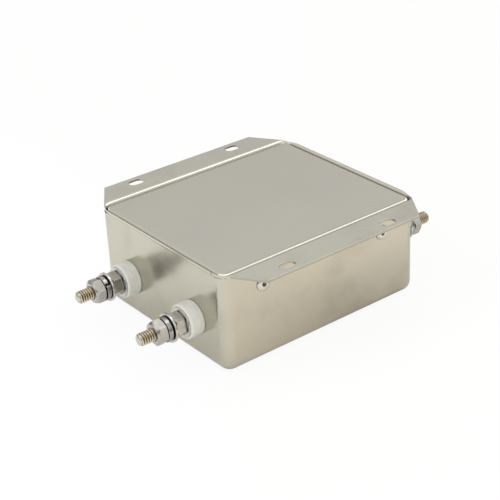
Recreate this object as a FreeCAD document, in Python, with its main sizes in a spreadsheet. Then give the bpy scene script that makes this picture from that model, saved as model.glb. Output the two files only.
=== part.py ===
import FreeCAD, Part
import Sketcher
import os
import re

# Two-line interference filter in a drawn steel can, with a pair of studs at each end
#
# Millimetres. X runs along the studs: the line end is at -X and the load end at +X.
# Y runs from flange to flange, Z runs up from the closed face of the can.
# The origin is at the middle of that closed face, which the part rests on.
# Side a is at -Y and side b at +Y.

V = FreeCAD.Vector
doc = FreeCAD.newDocument("LineFilter")
sheet = doc.addObject("Spreadsheet::Sheet", "Sizes")

# Driving dimensions
SIZES = {
    # Can
    "can_length": 120,  # can, outside, along the studs
    "can_width": 100,  # can, outside, flange side to flange side
    "can_height": 52,  # closed face to the top of the flanges
    "can_gauge": 1.2,  # sheet of the can
    "corner_round": 7.8,  # upright corners, outside
    "base_round": 5.3,  # edges of the closed face, outside
    "flange_reach": 16,  # flange beyond the wall
    "flange_tip_inset": 13.2,  # end of the can to the flange corner
    "flange_tip_round": 1.2,  # flange corners
    "bend_inside": 1,  # wall to flange, inside of the bend
    "lip_reach": 0.3,  # what the trim leaves of the flange at the end walls
    "trim_start": 4.5,  # side wall to where the trim turns from the end wall
    "trim_round": 20,  # the trim's turn from end wall to flange

    # Mounting slots
    "slot_pitch_along": 62,  # slots of one flange, centre to centre
    "slot_out": 10.5,  # side wall to the middle of the slots
    "slot_length": 8.6,  # slot, end to end
    "slot_width": 5.6,  # slot, side to side

    # Cover and its rivets
    "cover_gauge": 1,  # sheet of the cover
    "cover_drop": 0.9,  # rim of the can to the cover
    "cover_gap": 0.25,  # cover to can wall, all round
    "cover_fold": 0.4,  # inside of the cover's folds
    "cover_skirt": 17,  # depth of the cover's long skirts
    "cover_end_lip": 6,  # depth of the cover's end lips
    "rivet_pitch": 74,  # rivets of one side, centre to centre
    "rivet_drop": 11.6,  # top of the flanges to the rivets
    "rivet_shank": 2,  # radius of the rivet's shank
    "rivet_bore": 1.15,  # radius of the rivet's bore
    "rivet_head": 3.4,  # radius of the rivet's head
    "rivet_head_rise": 1.2,  # height of the rivet's head
    "rivet_head_rim": 0.55,  # height of the rivet head's straight rim
    "rivet_head_top": 2.45,  # radius of the rivet head's flat top
    "rivet_collar": 3,  # radius of the upset collar inside
    "rivet_collar_length": 2.6,  # length of the upset collar inside
    "rivet_collar_taper": 0.8,  # length of the upset collar's taper
    "hole_play": 0.1,  # radial play of a shank in its hole

    # Studs and bushes
    "stud_pitch": 52,  # studs of one end, centre to centre
    "stud_height": 21.5,  # closed face to the stud axes
    "stud_radius": 3.175,  # quarter-inch stud
    "stud_grip": 3,  # radius of the stud inside its nuts, where the threads engage
    "stud_reach": 32,  # end wall to the tip of the stud
    "stud_chamfer": 0.7,  # chamfer at both ends of the stud
    "stud_play": 0.05,  # radial play of a stud in its nuts and bushes
    "washer_play": 0.2,  # radial play of a stud in its washers and strap
    "bush_radius": 8.7,  # outer bush
    "bush_length": 7.5,  # outer bush beyond the wall
    "bush_ease": 0.6,  # front edge of the outer bush
    "spigot_radius": 5.4,  # spigot of the outer bush through the wall
    "spigot_length": 2.8,  # spigot behind the outside of the wall
    "inner_bush_radius": 8,  # inner bush
    "inner_bush_length": 4,  # inner bush behind the wall

    # Nuts, washers and straps
    "washer_radius": 7.3,  # plain washer outside
    "washer_gauge": 1.2,  # plain washer thickness
    "nut_flats": 11.1,  # nut across flats
    "nut_height": 5.4,  # nut thickness
    "nut_chamfer": 0.5,  # height of the nut's corner chamfer
    "spring_radius": 6.2,  # spring washer outside
    "spring_section": 1.6,  # spring washer thickness
    "spring_rise": 1.4,  # lift of the spring washer over one turn
    "spring_turn": 350,  # wrap of the spring washer, degrees
    "strap_gauge": 0.8,  # strap thickness
    "strap_ring": 6.2,  # radius of the strap's ring
    "strap_tail": 5,  # width of the strap's tail
    "stud_tail": 1.5,  # stud beyond the inner nut

    # Component board and what carries it
    "board_end_gap": 2.8,  # end walls to the board
    "board_side_gap": 3.8,  # side walls to the board
    "board_gauge": 1.6,  # board thickness
    "board_round": 3,  # board corners
    "board_stand": 4,  # floor of the can to the board
    "post_inset_along": 8,  # ends of the board to its posts
    "post_inset_across": 6,  # sides of the board to its posts
    "post_radius": 1.5,  # welded post
    "post_tip": 0.8,  # post beyond its nut
    "post_chamfer": 0.3,  # chamfer at the post's tip
    "post_nut_flats": 5.5,  # post nut across flats
    "post_nut_height": 2.4,  # post nut thickness
    "spacer_radius": 3,  # spacer outside
    "pin_tail": 1.5,  # pins beyond the underside of the board

    # Chokes
    "choke_gap": 1.8,  # between the two chokes, along X
    "choke_inset": 6.9,  # sides of the board to the chokes
    "core_radius": 18,  # core outside
    "core_bore": 10,  # core bore radius
    "core_height": 14,  # core height
    "core_ease": 1.2,  # core edges
    "wire_gauge": 2,  # thickness of one winding turn
    "wire_play": 0.1,  # winding to core
    "wire_chamfer": 0.4,  # edges of one winding turn
    "winding_sweep": 120,  # first to last turn, degrees
    "winding_turns": 11,  # turns of one winding

    # Capacitors and resistor
    "film_length": 31,  # film capacitor along X
    "film_width": 14,  # film capacitor along Y
    "film_height": 25,  # film capacitor height
    "film_ease": 0.8,  # film capacitor edges
    "film_inset": 9.5,  # sides of the board to the film capacitors
    "film_pin_pitch": 27.5,  # film capacitor pins
    "pin_radius": 0.4,  # component pins
    "disc_radius": 5.5,  # disc capacitor
    "disc_gauge": 4,  # disc capacitor thickness
    "disc_ease": 1,  # disc capacitor edges
    "disc_lift": 1.5,  # board to the disc capacitor
    "disc_inset": 9.5,  # ends of the board to the disc capacitors
    "disc_shift_across": 8,  # disc capacitor from the middle, along Y
    "disc_pin_pitch": 5,  # disc capacitor pins
    "resistor_radius": 1.6,  # resistor body
    "resistor_length": 9,  # resistor body length
    "resistor_ease": 0.5,  # resistor body edges
    "resistor_lift": 2.4,  # board to the resistor axis
    "resistor_bend": 1.2,  # bend radius of the resistor's wire
    "resistor_pin_pitch": 15,  # resistor pins
    "resistor_inset": 5,  # side of the board to the resistor
}

# Levels and lengths that follow from the driving dimensions
FOLLOWING = {
    "cover_top": "can_height - cover_drop",  # top of the cover
    "cover_corner": "corner_round - can_gauge - cover_gap",  # cover's corners, where its skirts stop
    "trim_corner": "can_width / 2 - trim_start",  # where the trim turns from the end wall, along Y
    "slot_pitch_across": "can_width + 2 * slot_out",  # slots across the part, centre to centre
    "lip_edge": "can_length / 2 + lip_reach",  # middle to the trimmed lip of an end wall
    "tip_along": "can_length / 2 - flange_tip_inset",  # middle to a flange corner, along X
    "tip_across": "can_width / 2 + flange_reach",  # middle to a flange corner, along Y
    "slant_along": "lip_edge - tip_along",  # slanted trim, along X
    "slant_across": "tip_across - trim_corner",  # slanted trim, along Y
    "slant_run": "sqrt(slant_along * slant_along + slant_across * slant_across)",  # slanted trim, its length
    "turn_set": "trim_round * (slant_run - slant_across) / slant_along",  # start of the trim's turn
    "turn_x": "lip_edge - turn_set * slant_along / slant_run",  # where the slanted trim starts, along X
    "turn_y": "trim_corner + turn_set * slant_across / slant_run",  # where the slanted trim starts, along Y
    "half_inside": "can_length / 2 - can_gauge",  # middle to the inside of an end wall
    "rivet_height": "can_height - rivet_drop",  # closed face to the rivets
    "board_length": "can_length - 2 * (can_gauge + board_end_gap)",  # board along X
    "board_width": "can_width - 2 * (can_gauge + board_side_gap)",  # board along Y
    "post_pitch_along": "board_length - 2 * post_inset_along",  # board posts along X
    "post_pitch_across": "board_width - 2 * post_inset_across",  # board posts along Y
    "choke_radius": "core_radius + wire_play + wire_gauge",  # choke with its winding
    "choke_shift_along": "choke_radius + choke_gap / 2",  # choke centre from the middle, along X
    "choke_shift_across": "board_width / 2 - choke_inset - choke_radius",  # the same along Y
    "film_shift_across": "board_width / 2 - film_inset - film_width / 2",  # film capacitor from the middle
    "disc_shift_along": "board_length / 2 - disc_inset",  # disc capacitor from the middle, along X
    "resistor_shift_across": "board_width / 2 - resistor_inset",  # resistor from the middle, along Y
    "board_under": "can_gauge + board_stand",  # underside of the board
    "board_top": "board_under + board_gauge",  # top of the board
    "pin_end": "board_under - pin_tail",  # lowest point of a pin
    "chamfer_slope": "1 / sqrt(3)",  # height of a nut's chamfer for each part of its width
    "nut_corner": "nut_flats / sqrt(3)",  # nut, axis to a corner
    "post_nut_corner": "post_nut_flats / sqrt(3)",  # post nut, axis to a corner
    "clamp_washer_at": "bush_length",  # wall to the washer on the bush
    "clamp_nut_at": "clamp_washer_at + washer_gauge",  # wall to the clamp nut
    "contact_washer_at": "clamp_nut_at + nut_height",  # wall to the contact washer
    "spring_at": "contact_washer_at + washer_gauge",  # wall to the spring washer
    "spring_height": "spring_section + spring_rise * spring_turn / 360",  # spring washer, free
    "terminal_nut_at": "spring_at + spring_height",  # wall to the terminal nut
    "stud_free_at": "terminal_nut_at + nut_height + 2 * stud_play",  # wall to the free end of the stud
    "inner_washer_at": "can_gauge + inner_bush_length + washer_gauge",  # outer wall face to the inner washer
    "strap_at": "inner_washer_at + strap_gauge",  # outer wall face to the far face of the strap
    "inner_nut_at": "strap_at + nut_height",  # outer wall face to the far face of the inner nut
    "choke_mid": "board_top + wire_gauge + wire_play + core_height / 2",  # middle height of the chokes
    "leg_radius": "core_radius + wire_play + wire_gauge / 2",  # choke axis to the outer legs
    "strap_x": "can_length / 2 - strap_at + strap_gauge / 2",  # middle to the straps
}


def write_rows():
    """Every size on a row of its own in the sheet, with its name as the cell's alias."""
    rows = list(SIZES.items()) + [(alias, "=" + text) for alias, text in FOLLOWING.items()]
    for row, (alias, value) in enumerate(rows, 1):
        sheet.set("A%d" % row, alias.replace("_", " "))
        sheet.set("B%d" % row, str(value))
        sheet.setAlias("B%d" % row, alias)


write_rows()
doc.recompute()


def known(alias):
    """Whether a word is the name of a size."""
    return alias in SIZES or alias in FOLLOWING


def bound(text):
    """An expression with the sheet's name before each size in it."""
    def full_name(word):
        return "Sizes." + word.group() if known(word.group()) else word.group()

    return re.sub(r"[a-z_]+", full_name, text)


def present(text):
    """The value that an expression of sizes has now, where a line is first drawn."""
    numbers = re.sub(r"[a-z_]+", lambda word: "(%.9f)" % sheet.get(word.group()), text)
    return FreeCAD.Units.parseQuantity(numbers).Value


def signed(sign, text):
    """An expression taken positive or negative."""
    return ("-(%s)" if sign < 0 else "(%s)") % text


# Sketches
def new_body(name):
    body = doc.addObject("PartDesign::Body", name)
    body.Label = name
    return body


def new_sketch(body, role, lift="0"):
    """A sketch on one of the body's own planes, lifted along its normal."""
    sketch = body.newObject("Sketcher::SketchObject", body.Name + "_sketch")
    plane = next(feature for feature in body.Origin.OriginFeatures if feature.Role == role)
    sketch.AttachmentSupport = [(plane, "")]
    sketch.MapMode = "FlatFace"
    sketch.setExpression("AttachmentOffset.Base.z", bound(lift))
    return sketch


def pin(sketch, line, end, across, along):
    """Hold one point of the sketch at two expressions, measured from the sketch's origin."""
    for kind, axis, text in (("DistanceX", -2, across), ("DistanceY", -1, along)):
        if text == "0":
            sketch.addConstraint(Sketcher.Constraint("PointOnObject", line, end, axis))
        else:
            index = sketch.addConstraint(Sketcher.Constraint(kind, -1, 1, line, end, present(text)))
            sketch.setExpression("Constraints[%d]" % index, bound(text))


def outline(sketch, corners):
    """A closed outline of straight lines through corners given as pairs of expressions."""
    first = sketch.GeometryCount
    spots = [V(present(across), present(along), 0) for across, along in corners]
    for start, end in zip(spots, spots[1:] + spots[:1]):
        sketch.addGeometry(Part.LineSegment(start, end), False)
    for step, (across, along) in enumerate(corners):
        following = first + (step + 1) % len(corners)
        sketch.addConstraint(Sketcher.Constraint("Coincident", first + step, 2, following, 1))
        pin(sketch, first + step, 1, across, along)


def oblong(sketch, across, along, width, depth):
    """A rectangle about a centre."""
    left, right = "%s - (%s) / 2" % (across, width), "%s + (%s) / 2" % (across, width)
    low, high = "%s - (%s) / 2" % (along, depth), "%s + (%s) / 2" % (along, depth)
    outline(sketch, [(left, low), (right, low), (right, high), (left, high)])


def ring(sketch, across, along, radius):
    """A circle about a centre."""
    circle = Part.Circle(V(present(across), present(along), 0), V(0, 0, 1), present(radius))
    index = sketch.addGeometry(circle, False)
    pin(sketch, index, 3, across, along)
    held = sketch.addConstraint(Sketcher.Constraint("Radius", index, present(radius)))
    sketch.setExpression("Constraints[%d]" % held, bound(radius))


def bow(sketch, middle, start, end):
    """An arc counterclockwise about its middle."""
    circle = Part.Circle(middle, V(0, 0, 1), (start - middle).Length)
    return sketch.addGeometry(Part.ArcOfCircle(circle, circle.parameter(start), circle.parameter(end)), False)


def mouth(sketch, half_x, half_y, radius):
    """A rectangle about the origin with round corners."""
    reach_x, reach_y, turn = present(half_x), present(half_y), present(radius)
    straight_x, straight_y = "%s - (%s)" % (half_x, radius), "%s - (%s)" % (half_y, radius)
    spots = {}
    for end in (-1, 1):
        for side in (-1, 1):
            middle = V(end * (reach_x - turn), side * (reach_y - turn), 0)
            on_end = V(end * reach_x, middle.y, 0)
            on_side = V(middle.x, side * reach_y, 0)
            end_first = end * side > 0
            arc = bow(sketch, middle, *((on_end, on_side) if end_first else (on_side, on_end)))
            end_spot, side_spot = (1, 2) if end_first else (2, 1)
            pin(sketch, arc, end_spot, signed(end, half_x), signed(side, straight_y))
            pin(sketch, arc, side_spot, signed(end, straight_x), signed(side, half_y))
            held = sketch.addConstraint(Sketcher.Constraint("Radius", arc, turn))
            sketch.setExpression("Constraints[%d]" % held, bound(radius))
            spots[end, side] = (arc, end_spot, side_spot)
    for way in (-1, 1):
        joined(sketch, spots[way, -1][0], spots[way, -1][1], spots[way, 1][0], spots[way, 1][1])
        joined(sketch, spots[-1, way][0], spots[-1, way][2], spots[1, way][0], spots[1, way][2])


def joined(sketch, one, one_end, other, other_end):
    """A line between the ends of two pieces of an outline."""
    ends = [sketch.getPoint(one, one_end), sketch.getPoint(other, other_end)]
    line = sketch.addGeometry(Part.LineSegment(ends[0], ends[1]), False)
    sketch.addConstraint(Sketcher.Constraint("Coincident", line, 1, one, one_end))
    sketch.addConstraint(Sketcher.Constraint("Coincident", line, 2, other, other_end))


# Features
def grown(body, made, before):
    """Recompute a new feature and check that it added or removed material as it should."""
    doc.recompute()
    if made.Shape.isNull():
        raise ValueError("%s of %s has no shape: %s" % (made.Label, body.Label, made.State))
    change = made.Shape.Volume - before
    removes = made.TypeId in ("PartDesign::Pocket", "PartDesign::Groove")
    if removes == (change > 0) or abs(change) < 1e-6:
        raise ValueError("%s of %s changed the volume by %g" % (made.Label, body.Label, change))
    return made


def volume_now(body):
    return body.Tip.Shape.Volume if body.Tip and not body.Tip.Shape.isNull() else 0


def feature(body, kind, sketch, reversed_way=False, midplane=False, **sizes):
    """A Pad or Pocket of a sketch, with its sizes bound."""
    before = volume_now(body)
    made = body.newObject("PartDesign::" + kind, body.Name + "_" + kind)
    made.Profile = sketch
    made.Midplane = midplane
    made.Reversed = reversed_way
    for name, text in sizes.items():
        made.setExpression(name, bound(text))
    sketch.Visibility = False
    return grown(body, made, before)


def turned(body, kind, sketch, axis, angle="360", reversed_way=False):
    """A Revolution or Groove about one of its sketch's axes."""
    before = volume_now(body)
    made = body.newObject("PartDesign::" + kind, body.Name + "_" + kind)
    made.Profile = sketch
    made.ReferenceAxis = (sketch, [axis])
    made.Reversed = reversed_way
    made.setExpression("Angle", bound(angle))
    sketch.Visibility = False
    return grown(body, made, before)


def eased(body, radius, choose):
    """Round those edges of the body's last feature that choose() picks."""
    base = body.Tip
    picked = ["Edge%d" % (number + 1) for number, edge in enumerate(base.Shape.Edges) if choose(edge)]
    made = body.newObject("PartDesign::Fillet", body.Name + "_Fillet")
    made.Base = (base, picked)
    made.setExpression("Radius", bound(radius))
    doc.recompute()
    return made




def near(one, other):
    return abs(one - other) < 1e-4


def upright(edge):
    box = edge.BoundBox
    return box.XLength < 1e-4 and box.YLength < 1e-4


def level_at(edge, height):
    return near(edge.BoundBox.ZMin, height) and near(edge.BoundBox.ZMax, height)


def level_along(edge, reach):
    return near(edge.BoundBox.XMin, reach) and near(edge.BoundBox.XMax, reach)


def within(edge, half_x, half_y):
    """Whether an edge lies inside a box about the origin, seen from above."""
    box = edge.BoundBox
    widest = max(abs(box.XMin), abs(box.XMax)), max(abs(box.YMin), abs(box.YMax))
    return widest[0] < half_x + 1e-3 and widest[1] < half_y + 1e-3


def placed(item, across="0", along="0", up="0", rotation=None):
    """Put a finished sub-part in its place, bound to the sizes."""
    if rotation:
        item.Placement.Rotation = rotation
    for name, text in (("x", across), ("y", along), ("z", up)):
        if text != "0":
            item.setExpression("Placement.Base." + name, bound(text))
    return item


# Where things repeat: ends of the part, sides of each end
ENDS = {"line": -1, "load": 1}
SIDES = {"a": -1, "b": 1}
nodes = []


def facing(end, spin=0):
    """Turn a piece made along +X so that it points out of the given end."""
    return FreeCAD.Rotation(V(0, 0, 1), 180 if ENDS[end] < 0 else 0) * FreeCAD.Rotation(V(1, 0, 0), spin)


def repeated(name, pattern, places):
    """One node of identical solids: the pattern piece shown at each place."""
    copies = []
    for number, (across, along, up, rotation) in enumerate(places):
        copy = doc.addObject("App::Link", "%s_%d" % (name, number + 1))
        copy.setLink(pattern)
        copies.append(placed(copy, across, along, up, rotation))
    group = doc.addObject("Part::Compound", name)
    group.Label = name
    group.Links = copies
    nodes.append(group)
    return group


# Can: a drawn box whose flange is trimmed close to the end walls
def make_can():
    body = new_body("housing_can")
    top = present("can_height")
    sketch = new_sketch(body, "XY_Plane")
    oblong(sketch, "0", "0", "can_length", "can_width")
    feature(body, "Pad", sketch, Length="can_height")
    eased(body, "corner_round", upright)
    eased(body, "base_round", lambda edge: level_at(edge, 0))

    shell(body, "can_gauge", top)

    sketch = new_sketch(body, "XY_Plane", "can_height - can_gauge")
    oblong(sketch, "0", "0", "can_length + 2 * flange_reach", "can_width + 2 * flange_reach")
    mouth(sketch, "can_length / 2 - can_gauge", "can_width / 2 - can_gauge", "corner_round - can_gauge")
    feature(body, "Pad", sketch, Length="can_gauge")
    wall_x, wall_y = present("can_length / 2"), present("can_width / 2")
    under = present("can_height - can_gauge")
    eased(body, "bend_inside", lambda edge: level_at(edge, under) and within(edge, wall_x, wall_y))
    eased(body, "bend_inside + can_gauge", lambda edge: level_at(edge, top) and within(edge, wall_x, wall_y))

    trim_flange(body)
    cut_slots(body)
    cut_wall_holes(body)
    nodes.append(body)


def trim_flange(body):
    """Cut the flange to its outline: close to the end walls, slanted to the corners of the long sides."""
    sketch = new_sketch(body, "XY_Plane", "can_height")
    oblong(sketch, "0", "0", "can_length + 3 * flange_reach", "can_width + 3 * flange_reach")
    spots = {}
    for end in ENDS.values():
        for side in SIDES.values():
            on_lip = V(end * present("lip_edge"), side * present("trim_corner - turn_set"), 0)
            on_slant = V(end * present("turn_x"), side * present("turn_y"), 0)
            tip = V(end * present("tip_along"), side * present("tip_across"), 0)
            middle = V(end * present("lip_edge - trim_round"), on_lip.y, 0)
            lip_first = end * side > 0
            arc = bow(sketch, middle, *((on_lip, on_slant) if lip_first else (on_slant, on_lip)))
            lip_end, slant_end = (1, 2) if lip_first else (2, 1)
            slant = sketch.addGeometry(Part.LineSegment(on_slant, tip), False)
            sketch.addConstraint(Sketcher.Constraint("Coincident", slant, 1, arc, slant_end))
            pin(sketch, arc, lip_end, signed(end, "lip_edge"), signed(side, "trim_corner - turn_set"))
            pin(sketch, slant, 1, signed(end, "turn_x"), signed(side, "turn_y"))
            pin(sketch, slant, 2, signed(end, "tip_along"), signed(side, "tip_across"))
            held = sketch.addConstraint(Sketcher.Constraint("Radius", arc, present("trim_round")))
            sketch.setExpression("Constraints[%d]" % held, bound("trim_round"))
            spots[end, side] = (arc, lip_end, slant)
    for way in (-1, 1):
        joined(sketch, spots[way, -1][0], spots[way, -1][1], spots[way, 1][0], spots[way, 1][1])
        joined(sketch, spots[-1, way][2], 2, spots[1, way][2], 2)
    feature(body, "Pocket", sketch, Length="can_gauge + bend_inside")
    tip_y = present("tip_across")
    eased(body, "flange_tip_round", lambda edge: upright(edge) and near(abs(edge.BoundBox.YMin), tip_y))


def shell(body, gauge, height):
    """Hollow the body inwards through its flat face at a height."""
    base = body.Tip
    open_face = [n + 1 for n, face in enumerate(base.Shape.Faces)
                 if near(face.BoundBox.ZMin, height) and near(face.BoundBox.ZMax, height)]
    made = body.newObject("PartDesign::Thickness", body.Name + "_shell")
    made.Base = (base, ["Face%d" % number for number in open_face])
    made.Reversed = True
    made.setExpression("Value", bound(gauge))
    doc.recompute()


def cut_slots(body):
    """Two slots in each flange, long along X."""
    ends, middles = new_sketch(body, "XY_Plane", "can_height"), new_sketch(body, "XY_Plane", "can_height")
    for side in SIDES.values():
        for end in ENDS.values():
            along = signed(side, "slot_pitch_across / 2")
            across = signed(end, "slot_pitch_along / 2")
            for way in ("-", "+"):
                ring(ends, "%s %s (slot_length - slot_width) / 2" % (across, way), along, "slot_width / 2")
            oblong(middles, across, along, "slot_length - slot_width", "slot_width")
    feature(body, "Pocket", ends, Length="can_gauge")
    feature(body, "Pocket", middles, Length="can_gauge")


def cut_wall_holes(body):
    """Holes for the bushes in the end walls and for the rivets in the long walls."""
    sketch = new_sketch(body, "YZ_Plane")
    for side in SIDES.values():
        ring(sketch, signed(side, "stud_pitch / 2"), "stud_height", "spigot_radius + hole_play")
    feature(body, "Pocket", sketch, midplane=True, Length="can_length")
    rivet_holes(body)


def rivet_holes(body):
    sketch = new_sketch(body, "XZ_Plane")
    for end in ENDS.values():
        ring(sketch, signed(end, "rivet_pitch / 2"), "rivet_height", "rivet_shank + hole_play")
    feature(body, "Pocket", sketch, midplane=True, Length="can_width")


# Cover: folded sheet set down between the walls, held by rivets through its long skirts
def make_cover():
    body = new_body("cover_plate")
    length = "can_length - 2 * (can_gauge + cover_gap)"
    width = "can_width - 2 * (can_gauge + cover_gap)"
    skirt_foot = "cover_top - cover_skirt"
    sketch = new_sketch(body, "XY_Plane", skirt_foot)
    oblong(sketch, "0", "0", length, width)
    feature(body, "Pad", sketch, Length="cover_skirt")
    top = present("cover_top")
    eased(body, "cover_corner", upright)
    eased(body, "cover_fold + cover_gauge", lambda edge: level_at(edge, top))
    shell(body, "cover_gauge", present(skirt_foot))

    sketch = new_sketch(body, "XY_Plane", "cover_top - cover_gauge - cover_fold")
    for side in SIDES.values():
        for end in ENDS.values():
            oblong(sketch, signed(end, "(%s) / 2" % length), signed(side, "(%s) / 2" % width),
                   "2 * cover_corner", "2 * cover_corner")
    feature(body, "Pocket", sketch, Length="cover_skirt")

    sketch = new_sketch(body, "YZ_Plane")
    lip_foot = "cover_top - cover_end_lip"
    inside = "(%s) / 2 - cover_gauge" % width
    outline(sketch, [("-(%s)" % inside, skirt_foot), (inside, skirt_foot), (inside, lip_foot),
                     ("-(%s)" % inside, lip_foot)])
    feature(body, "Pocket", sketch, midplane=True, Length="can_length")
    rivet_holes(body)
    nodes.append(body)


# Blind rivets, head outside and upset collar inside
def make_rivets():
    pattern = new_body("rivet_pattern")
    sketch = new_sketch(pattern, "XY_Plane")
    grip = "(can_gauge + cover_gap + cover_gauge)"
    tail = "-(%s + rivet_collar_length)" % grip
    outline(sketch, [(tail, "rivet_bore"), (tail, "rivet_shank + hole_play"),
                     (tail + " + rivet_collar_taper", "rivet_collar"), ("-%s" % grip, "rivet_collar"),
                     ("-%s" % grip, "rivet_shank"), ("0", "rivet_shank"), ("0", "rivet_head"),
                     ("rivet_head_rim", "rivet_head"), ("rivet_head_rise", "rivet_head_top"),
                     ("rivet_head_rise", "rivet_bore")])
    turned(pattern, "Revolution", sketch, "H_Axis")
    places = []
    for side in SIDES.values():
        for end in ENDS.values():
            places.append((signed(end, "rivet_pitch / 2"), signed(side, "can_width / 2"), "rivet_height",
                           FreeCAD.Rotation(V(0, 0, 1), 90 * side)))
    repeated("cover_rivets", pattern, places)


# Terminals
def at_stud(end, side, out="0"):
    """Where a piece on a stud stands, out being its distance from the end wall."""
    across = signed(ENDS[end], "can_length / 2 + %s" % out)
    return across, signed(SIDES[side], "stud_pitch / 2"), "stud_height"


def each_stud():
    return [(end, side) for end in ENDS for side in SIDES]


def turned_piece(name, corners):
    """A ring-shaped or rod-shaped piece turned about X."""
    body = new_body(name)
    sketch = new_sketch(body, "XY_Plane")
    outline(sketch, corners)
    turned(body, "Revolution", sketch, "H_Axis")
    return body


def make_terminals():
    bore = "stud_radius + stud_play"
    inner_end = "-(inner_nut_at + stud_tail)"
    front = present("bush_length")
    rim = present("bush_radius")
    for end, side in each_stud():
        tag = "_%s_%s" % (end, side)
        stud = turned_piece("terminal_stud" + tag, [
            (inner_end, "0"), (inner_end, "stud_grip - stud_chamfer"),
            ("%s + stud_chamfer" % inner_end, "stud_grip"), ("stud_free_at", "stud_grip"),
            ("stud_free_at", "stud_radius"), ("stud_reach - stud_chamfer", "stud_radius"),
            ("stud_reach", "stud_radius - stud_chamfer"), ("stud_reach", "0")])
        outer = turned_piece("outer_bush" + tag, [
            ("-spigot_length", bore), ("-spigot_length", "spigot_radius"), ("0", "spigot_radius"),
            ("0", "bush_radius"), ("bush_length", "bush_radius"), ("bush_length", bore)])
        eased(outer, "bush_ease", lambda edge: level_along(edge, front) and edge.BoundBox.YMax > rim - 0.01)
        pocket = "-spigot_length - hole_play"
        inner = turned_piece("inner_bush" + tag, [
            ("-can_gauge", "spigot_radius + hole_play"), ("-can_gauge", "inner_bush_radius"),
            ("-can_gauge - inner_bush_length", "inner_bush_radius"), ("-can_gauge - inner_bush_length", bore),
            (pocket, bore), (pocket, "spigot_radius + hole_play")])
        strap = make_strap("bus_strap" + tag)
        for piece in (stud, outer, inner, strap):
            placed(piece, *at_stud(end, side), facing(end))
            nodes.append(piece)


def make_strap(name):
    """Flat strap: a ring round the stud, and a tail that goes down through the board."""
    body = new_body(name)
    sketch = new_sketch(body, "YZ_Plane", "-strap_at")
    ring(sketch, "0", "0", "strap_ring")
    feature(body, "Pad", sketch, Length="strap_gauge")
    sketch = new_sketch(body, "YZ_Plane", "-strap_at")
    tail_end = "pin_end - stud_height"
    outline(sketch, [("-strap_tail / 2", tail_end), ("strap_tail / 2", tail_end),
                     ("strap_tail / 2", "0"), ("-strap_tail / 2", "0")])
    feature(body, "Pad", sketch, Length="strap_gauge")
    sketch = new_sketch(body, "YZ_Plane", "-strap_at")
    ring(sketch, "0", "0", "stud_radius + washer_play")
    feature(body, "Pocket", sketch, reversed_way=True, Length="strap_gauge")
    return body


def hex_nut(name, corner, flats, height, bore, chamfer):
    """Nut along X with both faces chamfered at the corners."""
    body = new_body(name)
    sketch = new_sketch(body, "YZ_Plane")
    side, shoulder = flats + " / 2", corner + " / 2"
    outline(sketch, [("0", corner), (side, shoulder), (side, "-" + shoulder),
                     ("0", "-" + corner), ("-" + side, "-" + shoulder), ("-" + side, shoulder)])
    feature(body, "Pad", sketch, Length=height)
    sketch = new_sketch(body, "YZ_Plane")
    ring(sketch, "0", "0", bore)
    feature(body, "Pocket", sketch, reversed_way=True, Length=height)
    sketch = new_sketch(body, "XY_Plane")
    start = "%s - %s / chamfer_slope" % (corner, chamfer)
    beyond = "%s + %s" % (corner, chamfer)
    depth = "%s * (1 + chamfer_slope)" % chamfer
    outline(sketch, [("0", start), ("0", beyond), (depth, beyond)])
    outline(sketch, [(height, start), (height, beyond), ("%s - %s" % (height, depth), beyond)])
    turned(body, "Groove", sketch, "H_Axis")
    return body


def plain_washer(name, radius, bore, gauge):
    body = new_body(name)
    sketch = new_sketch(body, "YZ_Plane")
    ring(sketch, "0", "0", radius)
    ring(sketch, "0", "0", bore)
    feature(body, "Pad", sketch, Length=gauge)
    return body


def spring_washer(name):
    """Split washer whose ends stand apart, one turn of a helix along X."""
    body = new_body(name)
    sketch = new_sketch(body, "XY_Plane")
    bore = "stud_radius + washer_play"
    outline(sketch, [("0", bore), ("0", "spring_radius"),
                     ("spring_section", "spring_radius"), ("spring_section", bore)])
    made = body.newObject("PartDesign::AdditiveHelix", name + "_helix")
    made.Profile = sketch
    made.ReferenceAxis = (sketch, ["H_Axis"])
    made.Mode = 1
    made.setExpression("Pitch", bound("spring_rise"))
    made.setExpression("Turns", bound("spring_turn / 360"))
    made.Angle = 0
    made.Growth = 0
    doc.recompute()
    return body


# How far each nut has been turned when tight, in degrees
CLAMP_NUT_SPIN = {("line", "a"): 25, ("line", "b"): 24, ("load", "a"): 10, ("load", "b"): 52}
TERMINAL_NUT_SPIN = {("line", "a"): 24, ("line", "b"): 47, ("load", "a"): 18, ("load", "b"): 35}
SPRING_SPIN = {("line", "a"): 75, ("line", "b"): 95, ("load", "a"): 200, ("load", "b"): 140}


def make_fasteners():
    washer = plain_washer("washer_pattern", "washer_radius", "stud_radius + washer_play", "washer_gauge")
    thread = "stud_grip + stud_play"
    nut = hex_nut("nut_pattern", "nut_corner", "nut_flats", "nut_height", thread, "nut_chamfer")
    spring = spring_washer("spring_pattern")
    still = {stud: 0 for stud in each_stud()}
    for name, pattern, out, spins in (
            ("clamp_washers", washer, "clamp_washer_at", still),
            ("clamp_nuts", nut, "clamp_nut_at", CLAMP_NUT_SPIN),
            ("contact_washers", washer, "contact_washer_at", still),
            ("spring_washers", spring, "spring_at", SPRING_SPIN),
            ("terminal_nuts", nut, "terminal_nut_at", TERMINAL_NUT_SPIN),
            ("inner_washers", washer, "-inner_washer_at", still),
            ("inner_nuts", nut, "-inner_nut_at", still)):
        repeated(name, pattern, [at_stud(end, side, out) + (facing(end, spins[end, side]),)
                                 for end, side in each_stud()])


# Component board on four posts welded to the floor of the can
def corner_spots(along, across):
    return [(signed(end, along + " / 2"), signed(side, across + " / 2"))
            for end in ENDS.values() for side in SIDES.values()]


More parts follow.
